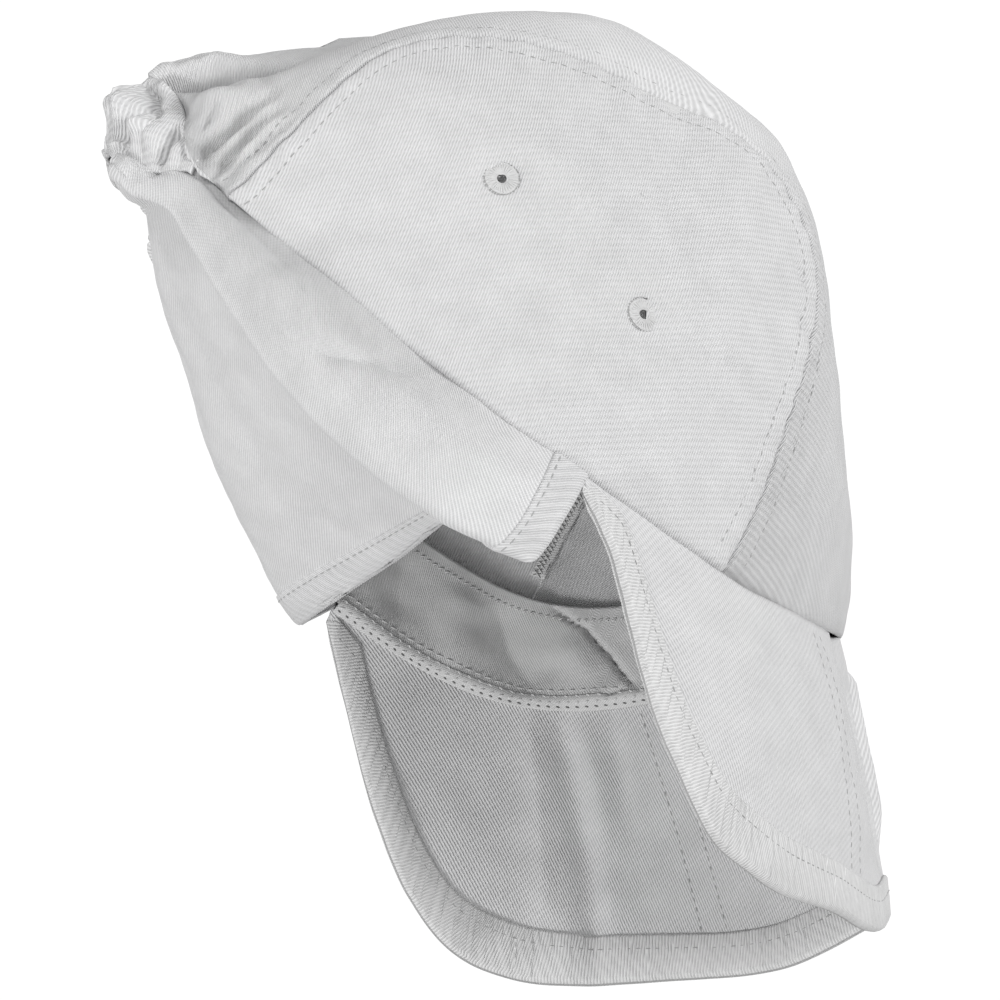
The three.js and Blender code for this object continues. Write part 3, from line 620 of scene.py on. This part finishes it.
def side_panel(word, side):
    """A side panel as rings round its middle, spread round each eyelet and cut through there."""
    middle = np.array([-RIM_HALF_WIDTH * 0.62, 6.0])
    rounds = np.linspace(SEAM[0, 0], SEAM[-1, 0], 181)[:-1]
    border = np.concatenate([map_point(rounds, 0), seam_map[::-1][:-1] + (-0.05, 0)])
    rings = np.linspace(0.0004, 1, 64)[:, None, None]
    place = middle + (border[None] - middle) * rings
    holes = []
    for _, turned, up in EYELETS:
        centre = map_point(turned, up)
        away = place - centre
        far = np.linalg.norm(away, axis=-1, keepdims=True)
        spread = EYELET_HOLE * 0.8 * np.clip(1 - far / 6, 0, 1)
        place = centre + away / np.maximum(far, 1e-6) * (far + spread)
        after = np.roll(place, -1, axis=1)
        corners = np.stack([place[:-1], place[1:], after[1:], after[:-1]]) - centre
        corners = corners[..., 0] + 1j * corners[..., 1]
        winding = abs(np.angle(np.roll(corners, -1, axis=0) / corners).sum(0))
        holes.append(np.unravel_index(winding.argmax(), winding.shape))
    grid = crown(place)
    normals = crown_normal(place)
    if side < 0:
        grid, normals = grid * left, normals * left
    relief = crown_relief(grid)
    uv = grid[..., 1:] * MM
    over = CLOTH / 2 + relief
    cloth("crown_panel_" + word, grid, normals, over, CLOTH / 2 - relief, wrapped=True, uv=uv, holes=holes,
          material=twill, slot="twill", stands_for=["crown_side_" + word])


def centre_panel():
    ends = np.sin(np.linspace(0, 1, 40) * np.pi / 2)[:-1]
    front = map_point(lerp(-1, SEAM[0, 0], ends), 0) * (-1, 1)
    back = map_point(np.linspace(SEAM[-1, 0], 1, 46)[1:], 0) * (-1, 1)
    middle = seam_map[::2] * (-1, 1) + (-0.05, 0)
    rows = np.concatenate([front, middle, back])
    across = np.linspace(-1, 1, 117)
    ahead = np.broadcast_to(rows[:, 1:], (len(rows), len(across)))
    place = np.stack([across[None] * rows[:, :1], ahead], axis=-1)
    grid = crown(place)
    normals = crown_normal(place)
    relief = crown_relief(grid)
    cloth("crown_centre", grid, normals, CLOTH / 2 + relief, CLOTH / 2 - relief,
          material=twill, slot="twill", stands_for=["crown_centre_panel"])


def peak_frame():
    tip = np.array([
        0, -RIM_FRONT - PEAK_LENGTH * math.cos(math.radians(PEAK_SLOPE)),
        RIM_RISE - PEAK_LENGTH * math.sin(math.radians(PEAK_SLOPE)),
    ])
    ear = rim(EAR_POINT)
    table = PEAK_EDGE * (-PEAK_HALF_SPAN, -PEAK_SIDE_REACH, -PEAK_SIDE_DROP) + (0, ear[1], 0)
    return spline(np.concatenate([[tip], table, [ear + (-1, 0, -2)]]), 1800)


peak_edge = peak_frame()


def peak_point(turned, depth):
    part = np.abs(turned)
    start = rim(lerp(-1, EAR_POINT, part)) - (0, 0, 0.3)
    end = along(peak_edge, part)
    point = start + (end - start) * depth[..., None]
    swell = np.sin(np.pi * depth) * np.sin(np.pi * np.sqrt(part)) * PEAK_ARCH
    point = point + swell[..., None] * PEAK_SWELL
    return point * np.where((turned > 0)[..., None], left, 1)


def peak_normal(turned, depth):
    part = np.clip(np.abs(turned), 0.02, 0.93)
    step = 0.004
    rows = peak_point(-(part + step), depth) - peak_point(-(part - step), depth)
    columns = peak_point(-part, depth + step) - peak_point(-part, depth - step)
    normal = unit(np.cross(rows, columns))
    normal = normal * np.where((np.abs(turned) < 1e-6)[..., None], (0, 1, 1), 1)
    return unit(normal) * np.where((turned > 0)[..., None], left, 1)


def peak_sizes(turned):
    ones = np.ones_like(turned)
    length = np.linalg.norm(peak_point(turned, ones) - peak_point(turned, 0 * ones), axis=-1)
    shown = lerp(BINDING_TIP_WIDTH, BINDING_WIDTH, smooth(np.abs(turned), 0.15, 0.6))
    return length, np.minimum(shown, length * 0.8)


def toward_ears(steps):
    """Steps from -1 to 1 over the peak, closer together by its two ends."""
    return np.sin(steps * np.pi / 2 * 0.9) / math.sin(np.pi / 2 * 0.9) * PEAK_END


STEPS = np.linspace(-1, 1, 421)
PEAK_TURNS = toward_ears(STEPS * (0.3 + 0.7 * np.abs(STEPS)))
PEAK_ROWS = 56
FAR_PUFF = 10
NEAR_HOLLOW = 2.2

# Soft creases of the peak: depth, width and the points of their lines as turned and depth.
PEAK_FOLDS = [
    (2.0, 3.6, [(0.372, 0.0), (0.372, 0.3), (0.368, 0.6), (0.374, 0.95)]),
    (-1.6, 4.5, [(0.43, 0.0), (0.43, 0.4), (0.43, 0.8)]),
    (1.0, 3.0, [(0.284, 0.0), (0.292, 0.25), (0.3, 0.45)]),
    (-1.0, 4.0, [(0.33, 0.05), (0.33, 0.5)]),
    (0.5, 5, [(-0.5, 0.05), (-0.5, 0.5), (-0.52, 0.8)]),
]


def peak_relief(grid):
    relief = 0.5 * noise(grid, 42, 5) + 0.15 * noise(grid, 13, 6)
    # The far half swells beside the fold, and the near half lies flat there
    reach = np.linalg.norm(grid - rim(-1.0), axis=-1)
    root = smooth(reach, 3, 12) * (1 - smooth(reach, 40, 72))
    away = grid[..., 0]
    relief = relief + FAR_PUFF * root * smooth(away, 0, 3.6) * (1 - smooth(away, 7, 30))
    hollow = NEAR_HOLLOW * root * smooth(reach, 8, 20) * smooth(-away, 0, 5)
    relief = relief - hollow * (1 - smooth(-away, 10, 45))
    for depth, width, line in PEAK_FOLDS:
        places = along(np.array(line), np.linspace(0, 1, 40))
        raised = crease(grid, peak_point(places[:, 0], places[:, 1]), depth, width, fade=14)
        relief = relief + raised * smooth(grid[..., 0] * np.sign(places[0, 0]), 0, 3)
    return relief


def peak():
    turned = PEAK_TURNS[:, None] + np.zeros((1, PEAK_ROWS))
    length, _ = peak_sizes(PEAK_TURNS)
    depth = np.linspace(0, 1, PEAK_ROWS)[None] * (1 - 2.5 / length)[:, None]
    grid, normals = peak_point(turned, depth), peak_normal(turned, depth)
    relief = peak_relief(grid)
    slope = math.radians(PEAK_SLOPE)
    ahead = np.array([0, -math.cos(slope), -math.sin(slope)])
    aside = unit(np.array([0.8, 0.36, -0.46]))
    folded = grid * np.where(turned[..., None] > 0, 1, left)
    uv = np.stack([folded @ aside, folded @ ahead], axis=-1) * MM
    cloth("peak_cloth", grid, normals, PEAK_THICKNESS / 2 + relief, PEAK_THICKNESS / 2 - relief, uv=uv,
          material=peak_twill, slot="twill", stands_for=["peak"])
    # Rows of stitches beside the fold, and along the binding
    for away in (0.2, 0.232):
        depths = np.linspace(0.03, 0.84, 90)
        turns = away + 0 * depths
        for side in (-1, 1):
            for face in (1, -1):
                peak_stitches(side * turns, depths, face, PEAK_THICKNESS / 2, pitch=2.6)
    turns = np.linspace(-0.955, 0.955, 700)
    length, width = peak_sizes(turns)
    for face in (1, -1):
        inner = 1 - (width - 4) / length
        peak_stitches(turns, inner, face, PEAK_THICKNESS / 2 + BINDING_CLOTH, pitch=2.5)


def peak_stitches(turns, depths, face, offset, pitch):
    line, normals = peak_point(turns, depths), peak_normal(turns, depths) * face
    line = line + normals * (offset + face * peak_relief(line))[:, None]
    stitch_row("peak", line, normals, pitch=pitch, length=1.7, radius=0.17, lift=0.0)


def binding():
    slot = PEAK_THICKNESS / 2 + BINDING_CLEARANCE
    outer = slot + BINDING_CLOTH
    # Columns: inward as a share of the width, offset
    section = np.array([
        (0, 0), (0.015, outer * 0.45), (0.05, outer * 0.8), (0.11, outer),
        (0.5, outer), (0.93, outer), (0.985, outer * 0.85), (1, slot), (0.5, slot), (0.12, slot),
        (0.12, -slot), (0.5, -slot), (1, -slot), (0.985, -outer * 0.85), (0.93, -outer),
        (0.5, -outer), (0.11, -outer), (0.05, -outer * 0.8), (0.015, -outer * 0.45),
    ])
    turns = toward_ears(np.linspace(-1, 1, 901))
    length, width = peak_sizes(turns)
    depth = 1 - section[None, :, 0] * (width / length)[:, None]
    turned = turns[:, None] + 0 * depth
    grid, normals = peak_point(turned, depth), peak_normal(turned, depth)
    edge = peak_point(turns, np.ones_like(turns))
    run = lengths(edge)
    wave = 0.04 * np.sin(run * 2 * np.pi / 5.4)[:, None] * np.where(np.abs(section[:, 1]) > slot, 1, 0)[None]
    ending = 1 - 0.75 * smooth(np.abs(turns), 0.955, PEAK_END)[:, None]
    lift = (section[None, :, 1] + np.sign(section[None, :, 1]) * wave) * ending + peak_relief(grid)
    grid = grid + normals * lift[..., None]
    around = lengths(section * (BINDING_WIDTH, 1))
    _, along_edge = nearest(grid, edge)
    uv = np.stack([along_edge, around[None] + 0 * depth], axis=-1) * MM
    rows, columns = grid.shape[:2]
    make("peak_bound_edge", grid, lattice_faces(rows, columns, True), uv=uv, material=ribbed,
         slot="binding", stands_for=["peak_binding"])


# Creases of the sweatband on the wearer's left, as its way round from 0 at the forehead to 1, and up.
BAND_FOLDS = [
    (-2.4, 0.6, [(0.285, 1.05), (0.226, 0.85), (0.183, 0.54), (0.133, 0.05)]),
    (-1.5, 0.5, [(0.148, 0.12), (0.17, 0.02)]),
    (1.6, 5, [(0.25, 0.75), (0.215, 0.5), (0.18, 0.2)]),
    (-2.2, 6, [(0.36, 0.9), (0.3, 0.4), (0.24, 0.1)]),
    (1.8, 6, [(0.43, 0.9), (0.4, 0.5), (0.36, 0.1)]),
    (-1.6, 6, [(0.53, 0.9), (0.48, 0.2)]),
    (1.1, 6, [(0.6, 0.8), (0.55, 0.2)]),
]


def band_place(turned, height):
    turns = lerp(-1, SWEATBAND_END, np.abs(turned))
    foot = rim(turns)
    share = np.maximum(height * SWEATBAND_WIDTH + 0.4, 0.01) / (CROWN_HEIGHT - foot[..., 2])
    end = np.where(turns < 0, FRONT_FULLNESS, BACK_FULLNESS)
    fullness = lerp(SIDE_FULLNESS, end, smooth(np.abs(turns), FULLNESS_START, 1))
    up = (2 / np.pi) * np.arcsin(share ** (fullness / 2))
    place = map_point(turns, up)
    place[..., 0] *= np.where(turned > 0, -1, 1)
    return place


def band_points(turned, height, extra=0.0):
    place = band_place(turned, height)
    points, normals = crown(place), crown_normal(place)
    grid = points - normals * (CLOTH / 2 + SWEATBAND_INSET)
    relief = 0.35 * noise(grid, 28, 8) + 0.1 * noise(grid, 10, 9)
    for depth, width, line in BAND_FOLDS:
        spots = along(np.array(line), np.linspace(0, 1, 30))
        fold = band_place(spots[:, 0], spots[:, 1])
        path = crown(fold) - crown_normal(fold) * (CLOTH / 2 + SWEATBAND_INSET)
        relief = relief - crease(grid, path, depth, width, fade=6)
    return grid + normals * (relief + extra)[..., None], normals


def sweatband():
    turned = np.linspace(-1, 1, 581)[:, None] + np.zeros((1, 40))
    height = np.linspace(0, 1.07, 40)[None] + 0 * turned
    grid, normals = band_points(turned, height)
    cloth("sweatband_cloth", grid, normals, 0.6, 0.6, material=band_cloth,
          slot="sweatband", stands_for=["sweatband"])
    path = np.linspace(-0.995, 0.995, 900)
    line, normals = band_points(path, 0 * path + 0.93, -0.62)
    stitch_row("inner", line, -normals, pitch=1.9, length=1.5, radius=0.24, lift=0.1, lean=35)
    # Painted shade: dark dashes for the needle holes between the overlock stitches
    stitch_row("shaded_holes", line, -normals, pitch=1.9, length=0.9, radius=0.2, lift=0.02, lean=-50)
    line, normals = band_points(path, 0 * path + 0.12, -0.62)
    stitch_row("inner", line, -normals, pitch=2.8, length=1.9, radius=0.25, lift=0.1, lean=9)


def seam_tape():
    """The strip that covers the join of the peak, the crown and the sweatband, with its chain stitches."""
    turned = np.linspace(-0.985, 0.985, 601)
    parts = turned * (EAR_POINT + 1) / (SWEATBAND_END + 1)
    upper, _ = band_points(parts, 0 * turned + 0.06, -0.45)
    middle, inward = band_points(parts, 0 * turned, -0.45)
    length, _ = peak_sizes(turned)
    under = -peak_normal(turned, 0 * turned + 0.05)
    lower = peak_point(turned, 0.8 / np.maximum(length, 4)) + under * (PEAK_THICKNESS / 2 + 0.35)
    grid = np.stack([upper, middle, lower], axis=1)
    steps = np.linspace(0, 2, 11)
    cell = np.minimum(steps.astype(int), 1)
    part = (steps - cell)[:, None]
    grid = grid[:, cell] * (1 - part) + grid[:, cell + 1] * part
    for _ in range(2):
        grid[:, 1:-1] = (grid[:, :-2] + 2 * grid[:, 1:-1] + grid[:, 2:]) / 4
    normals = grid_normals(grid)
    normals = normals * np.sign(np.sum(normals * -inward[:, None], axis=-1))[..., None]
    cloth("peak_seam_tape", grid, normals, 0.3, 0.3, material=band_cloth, slot="sweatband")
    stitch_row("loops", grid[:, 6], normals[:, 6], pitch=2.5, length=1.6, radius=0.3, lift=0.36, lean=32)
    # Painted shade: dark dashes for the needle holes of the chain stitches
    stitch_row("shaded_holes", grid[:, 8], normals[:, 8], pitch=2.5, length=1.3, radius=0.28, lift=0.24, lean=-14)
    stitch_row("loops", grid[:, 1], normals[:, 1], pitch=2.9, length=1.3, radius=0.2, lift=0.34, lean=-28)


def seam_allowances():
    """The overlocked cloth inside the crown along the side seams."""
    for side in (1, -1):
        path = along(seam_map, np.linspace(0.075, 0.988, 260))
        rows = []
        for distance in np.linspace(-0.4, 3.4, 7):
            shifted = offset_on_map(path, distance)
            rows.append(crown(shifted) - crown_normal(shifted) * (CLOTH / 2 + 0.35))
        grid = np.array(rows)
        grid = grid if side > 0 else grid * left
        normals = grid_normals(grid) * -side
        cloth("seam_allowance_" + ("right" if side > 0 else "left"), grid, normals, 0.3, 0.3,
              material=band_cloth, slot="twill")
        line = offset_on_map(path, 1.9)
        inner, inward = crown(line), -crown_normal(line)
        inner = inner + inward * (CLOTH / 2 + 0.7)
        if side < 0:
            inner, inward = inner * left, inward * left
        stitch_row("inner", inner, inward, pitch=1.3, length=3.2, radius=0.2, lift=0.06, lean=60)
        # Painted shade: dark dashes for the needle holes of the overlock
        stitch_row("shaded_holes", inner, inward, pitch=1.3, length=2.4, radius=0.12, lift=0.02, lean=-55)


# Lumps of the gathered casing, the same on both sides: depth, width and the points of a line, as
# turned from 0 at the nape to 1 at the end, and height.
CASING_LUMPS = [
    (3.6, 4.6, [(0.02, 0.5), (0.13, 0.58)]),
    (3.0, 3.4, [(0.3, 0.42), (0.42, 0.4)]),
    (2.6, 2.6, [(0.12, 0.95), (0.22, 0.97), (0.34, 0.99)]),
    (-4.2, 1.5, [(0.02, 0.84), (0.18, 0.8), (0.3, 0.72), (0.46, 0.66)]),
    (-3.4, 1.3, [(0.22, 0.66), (0.22, 0.4), (0.24, 0.15)]),
    (-3.0, 1.3, [(0.6, 0.9), (0.62, 0.5), (0.64, 0.1)]),
    (2.4, 3.4, [(0.1, 0.12), (0.16, 0.1)]),
]


def casing_place(turned, height):
    turns = lerp(1, CASING_START + CASING_INSET, np.abs(turned))
    share = np.maximum(casing_share(turns), CASING_LEAST)
    foot = rim(turns)
    side = np.where(turned > 0, -1, 1)
    behind = foot[..., 1] - RIM_BACK * CASING_FAN_FROM
    away = unit(np.stack([foot[..., 0] * CASING_FAN, behind, 0 * turns], axis=-1))
    ruffle = np.cos(np.abs(turned) * np.pi * 5) * PLEAT_DEPTH
    swell = np.sin(np.pi * height) * (CASING_BULGE + ruffle) * share
    points = foot + away * (swell - CLOTH / 2)[..., None]
    points[..., 2] += (height - 0.5) * (CASING_HEIGHT * share + 1.5)
    mirror = np.stack([side, np.ones_like(side), np.ones_like(side)], axis=-1)
    return points * mirror, away * mirror


def casing():
    turned, height = np.meshgrid(np.linspace(-1, 1, 361), np.linspace(0, 1, 54), indexing="ij")
    grid, away = casing_place(turned, height)
    fan = np.sin(np.pi * height) ** 0.5
    relief = fan * (0.6 * noise(grid, 14, 41) + 0.2 * noise(grid, 6, 42))
    gather = np.abs(np.sin(np.abs(turned) * np.pi * 4.5 + 0.9 * noise(grid, 16, 43)))
    relief = relief + fan * 1.2 * (gather - 0.6)
    for side in (-1, 1):
        for depth, width, line in CASING_LUMPS:
            places = along(np.array(line), np.linspace(0, 1, 20))
            path, _ = casing_place(side * places[:, 0], places[:, 1])
            relief = relief + crease(grid, path, depth, width, fade=3) * (turned * side >= -0.01)
    cloth("gathered_casing", grid + away * relief[..., None], away, CLOTH, 0, material=twill, slot="twill",
          uv=grid_lengths(grid), stands_for=["elastic_casing"])


FLAP_ROWS, FLAP_ACROSS = 140, 205


def flap_grid():
    """The flap as sections from the nape forward, closed under the casing by its first rows."""
    rounds = np.linspace(FLAP_SECTIONS[0, 0], FLAP_SECTIONS[-1, 0], FLAP_ROWS)
    values = columns_at(FLAP_SECTIONS, rounds)
    sections = []
    for turned, (roll, out, tuck, sag, lean) in zip(rounds, values):
        foot = rim(turned)
        top = foot[2] + 0.6 - casing_share(turned) * CASING_HEIGHT / 2
        out, tuck = out * FLAP_ROLL_OUT, tuck * FLAP_TUCK
        roll, sag = roll * FLAP_ROLL_DROP, sag * FLAP_SAG
        lean = -lean * (RIM_FRONT + RIM_BACK)
        side, outs, tucks, rolls, sags, leans = FLAP_LINE.T
        points = np.stack([
            -foot[0] * side - out * outs + tuck * tucks,
            foot[1] + lean * leans,
            top - roll * rolls - sag * sags,
        ], axis=-1)
        sections.append(spline(points, FLAP_ACROSS))
    grid = np.array(sections)
    closed = grid[0] * (0.95, 0, 0) + (0, RIM_BACK - 3, RIM_RISE - CASING_HEIGHT / 2 + 4)
    parts = np.linspace(0, 0.9, 8)[:, None, None]
    return np.concatenate([lerp(closed, grid[0], parts), grid])


# Folds of the flap: depth, width and the points of their lines, as shares of the way along and across.
FLAP_FOLDS = [
    (-2.6, 2.6, [(0.11, 0.0), (0.113, 0.03), (0.112, 0.075), (0.118, 0.11)]),
    (2.6, 7, [(0.06, 0.03), (0.07, 0.07), (0.09, 0.11)]),
    (-2.4, 3.4, [(0.13, 0.012), (0.2, 0.03), (0.268, 0.045), (0.34, 0.055), (0.4, 0.055)]),
    (-1.7, 2.4, [(0.45, 0.19), (0.483, 0.177), (0.544, 0.127), (0.591, 0.082), (0.66, 0.02)]),
    (1.4, 6, [(0.33, 0.13), (0.4, 0.12), (0.46, 0.115)]),
    (-1.0, 5, [(0.45, 0.09), (0.55, 0.06), (0.7, 0.05), (0.85, 0.03)]),
    (-0.9, 6, [(0.2, 0.75), (0.6, 0.7), (0.85, 0.66)]),
    (-0.8, 5, [(0.1, 0.9), (0.4, 0.86), (0.8, 0.84)]),
]


def flap_relief(grid):
    relief = 0.5 * noise(grid, 44, 21) + 0.18 * noise(grid, 17, 22) + 0.05 * noise(grid, 7, 23)
    rows, columns = grid.shape[0] - 1, grid.shape[1] - 1
    for depth, width, line in FLAP_FOLDS:
        places = along(np.array(line), np.linspace(0, 1, 40))
        path = grid[(places[:, 0] * rows).round().astype(int), (places[:, 1] * columns).round().astype(int)]
        relief = relief + crease(grid, path, depth, width)
    return relief


def flap():
    grid = flap_grid()
    normals = -grid_normals(grid)
    relief = flap_relief(grid)
    piece = cloth("neck_flap_cloth", grid, normals, CLOTH / 2 + relief, CLOTH / 2 - relief,
                  material=slant_twill, slot="twill", stands_for=["neck_flap"])
    # The hem: the cloth turned over along the free edge
    backs = np.linspace(0, FLAP_HEM, 15)
    columns = grid.shape[1]
    hem_grid = np.empty((len(backs), columns, 3))
    hem_normals = np.empty_like(hem_grid)
    for j in range(columns):
        run = lengths(grid[:, j])
        at = run[-1] - backs
        raised = grid[:, j] + normals[:, j] * relief[:, j:j + 1]
        for k in range(3):
            hem_grid[:, j, k] = np.interp(at, run, raised[:, k])
            hem_normals[:, j, k] = np.interp(at, run, normals[:, j, k])
    hem_normals = unit(hem_normals)
    profile = (CLOTH / 2 + 0.6) * np.sqrt(np.clip(1 - (1 - np.clip(backs / 1.3, 0, 1)) ** 2, 0.12, 1))
    profile = profile - 0.12 * smooth(backs, FLAP_HEM - 1, FLAP_HEM)
    ripple = 0.05 * noise(hem_grid, 6, 31)
    uv = grid_lengths(hem_grid)
    hem = cloth("neck_flap_hem", hem_grid, -hem_normals, profile[:, None] + ripple, profile[:, None] + ripple,
                material=hem_twill, slot="twill", uv=uv)
    for face in (1, -1):
        line = hem_grid[-3] + face * hem_normals[-3] * (CLOTH / 2 + 0.57)
        stitch_row("flap", line, face * hem_normals[-3], pitch=2.9, length=2.1, radius=0.2, lift=0.02)
    return piece, hem


def eyelet(name, side, place):
    """A sewn ring with its radial threads, and the needle holes round it as dark dashes of painted shade."""
    centre = crown(place)[0]
    normal = crown_normal(place)[0]
    if side < 0:
        centre, normal = centre * left, normal * left
    across = unit(np.cross(normal, [0, 0, 1.0]))
    upward = np.cross(normal, across)
    relief = float(crown_relief(centre[None])[0])
    around = np.linspace(0, 2 * np.pi, 120, endpoint=False)
    section = np.linspace(0, 2 * np.pi, 14, endpoint=False)
    inner, outer = EYELET_HOLE / 2 + 0.2, EYELET_DIAMETER / 2 - 0.2
    radius = (inner + outer) / 2 + (outer - inner) / 2 * np.cos(section)[None]
    radius = radius * (1 + 0.03 * np.sin(around * 3 + side)[:, None])
    height = relief + CLOTH / 2 - 0.1 + 0.3 * np.sin(section)[None] + 0 * radius
    way = np.cos(around)[:, None] * across + np.sin(around)[:, None] * upward
    grid = centre + way[:, None] * radius[..., None] + normal * height[..., None]
    faces = lattice_faces(len(around), len(section), True)
    last, ring = (len(around) - 1) * len(section), np.arange(len(section))
    after = (ring + 1) % len(section)
    closing = np.stack([last + ring, last + after, after, ring], axis=-1)
    make("sewn_" + name, grid, np.concatenate([faces, closing]), material=eyelet_thread,
         slot="thread", stands_for=[name])
    rng = np.random.default_rng(7)
    turns = np.linspace(0, 2 * np.pi, EYELET_THREADS, endpoint=False)
    for turn in turns + rng.uniform(-0.05, 0.05, EYELET_THREADS):
        spoke = math.cos(turn) * across + math.sin(turn) * upward
        round_way = np.cross(normal, spoke)
        reach = rng.uniform(2.5, 3.1)
        middle = centre + spoke * (1.35 + reach / 2) + normal * (relief + CLOTH / 2 + 0.18)
        edge = centre + spoke * (EYELET_DIAMETER / 2) + normal * (relief + CLOTH / 2 + 0.06)
        THREADS.setdefault("eyelets", []).append((middle, spoke, normal, round_way, reach, 0.3))
        # Dark thread dashes at the ring's edge: painted shade of the needle holes
        shade_dash = (edge, round_way, normal, spoke, rng.uniform(0.3, 0.7), 0.14)
        THREADS.setdefault("needle_shade_dashes", []).append(shade_dash)


def eyelets():
    for word, side in (("right", 1), ("left", -1)):
        for where, turned, up in EYELETS:
            eyelet(f"eyelet_{word}_{where}", side, map_point(turned, up)[None])


side_panel("right", 1)
side_panel("left", -1)
centre_panel()
peak()
binding()
sweatband()
seam_tape()
seam_allowances()
casing()
flap_cloth, flap_hem = flap()
eyelets()
top_path = along(seam_map, np.linspace(0.01, 0.99, 500))
for side in (1, -1):
    for distance in (TOPSTITCH_OFFSET, -TOPSTITCH_OFFSET):
        crown_stitches(offset_on_map(top_path, distance), side)
# Topstitching in the grey thread, whose darkness is painted shade of the needle holes
sew("crown_stitching", "crown", seam_thread, "thread")
sew("peak_stitching", "peak", seam_thread, "thread")
sew("flap_stitching", "flap", seam_thread, "thread")
sew("inner_stitching", "inner", inner_thread, "thread")
sew("inner_loops", "loops", cotton_thread, "thread")
# Painted shade of the needle holes, as near-black thread dashes
sew("needle_hole_shade", "shaded_holes", hole_shade_thread, "thread")
sew("eyelet_threads", "eyelets", eyelet_thread, "thread")
# Painted shade: dark dashes for the needle holes round the eyelets
sew("eyelet_needle_shade", "needle_shade_dashes", seam_thread, "thread")

# Camera, lights and floor, in metres
AZIMUTH, ELEVATION, ROLL = math.radians(-105), math.radians(-25), math.radians(30)
CAMERA_DISTANCE = 3.0
FLOOR_REACH, FLOOR_HEIGHT = 12, -3.2
toward = Vector((
    math.sin(AZIMUTH) * math.cos(ELEVATION),
    -math.cos(AZIMUTH) * math.cos(ELEVATION),
    math.sin(ELEVATION),
))
level = Vector((math.cos(AZIMUTH), math.sin(AZIMUTH), 0))
upright = toward.cross(level)
right = level * math.cos(ROLL) + upright * math.sin(ROLL)
up = upright * math.cos(ROLL) - level * math.sin(ROLL)
target = (right * 17.25 + up * 6.25) * MM
camera = bpy.data.cameras.new("camera")
camera.sensor_width = 36
camera.lens = 432
camera.clip_end = 60
view = bpy.data.objects.new("camera", camera)
bpy.context.collection.objects.link(view)
pose = Matrix((right, up, toward)).transposed().to_4x4()
pose.translation = target + toward * CAMERA_DISTANCE
view.matrix_world = pose
bpy.context.scene.camera = view


def lamp(name, position, size, power):
    light = bpy.data.lights.new(name, "AREA")
    light.shape = "DISK"
    light.size = size
    light.energy = power
    holder = bpy.data.objects.new(name, light)
    bpy.context.collection.objects.link(holder)
    holder.location = position
    holder.rotation_euler = (Vector((0, 0, 0.03)) - Vector(position)).to_track_quat("-Z", "Y").to_euler()


lamp("key", tuple(toward * 1.2 + up * 1.8 - right * 1.2), 0.6, 16)
lamp("fill", tuple(toward * 1.1 + up * 0.5 + right * 2.1), 1.0, 34)
lamp("low", tuple(toward * 1.5 - up * 1.0 - right * 1.4), 0.7, 23)
world = bpy.data.worlds.new("studio")
world.use_nodes = True
nodes, links = world.node_tree.nodes, world.node_tree.links
soft_light = nodes["Background"]
soft_light.inputs["Color"].default_value = (1, 1, 1, 1)
soft_light.inputs["Strength"].default_value = 0.5
white = nodes.new("ShaderNodeBackground")
white.inputs["Color"].default_value = (1, 1, 1, 1)
white.inputs["Strength"].default_value = 1.05
seen = nodes.new("ShaderNodeLightPath")
either = nodes.new("ShaderNodeMixShader")
links.new(seen.outputs["Is Camera Ray"], either.inputs["Fac"])
links.new(soft_light.outputs["Background"], either.inputs[1])
links.new(white.outputs["Background"], either.inputs[2])
links.new(either.outputs["Shader"], nodes["World Output"].inputs["Surface"])
bpy.context.scene.world = world
bpy.context.scene.view_settings.view_transform = "Standard"

floor_mesh = bpy.data.meshes.new("floor")
corners = ((-1, -1), (1, -1), (1, 1), (-1, 1))
floor_corners = [(FLOOR_REACH * x, FLOOR_REACH * y, FLOOR_HEIGHT) for x, y in corners]
floor_mesh.from_pydata(floor_corners, [], [(0, 1, 2, 3)])
floor = bpy.data.objects.new("floor", floor_mesh)
bpy.context.collection.objects.link(floor)
paper = bpy.data.materials.new("paper")
paper.use_nodes = True
paper.node_tree.nodes["Principled BSDF"].inputs["Base Color"].default_value = (0.9, 0.9, 0.9, 1)
floor_mesh.materials.append(paper)
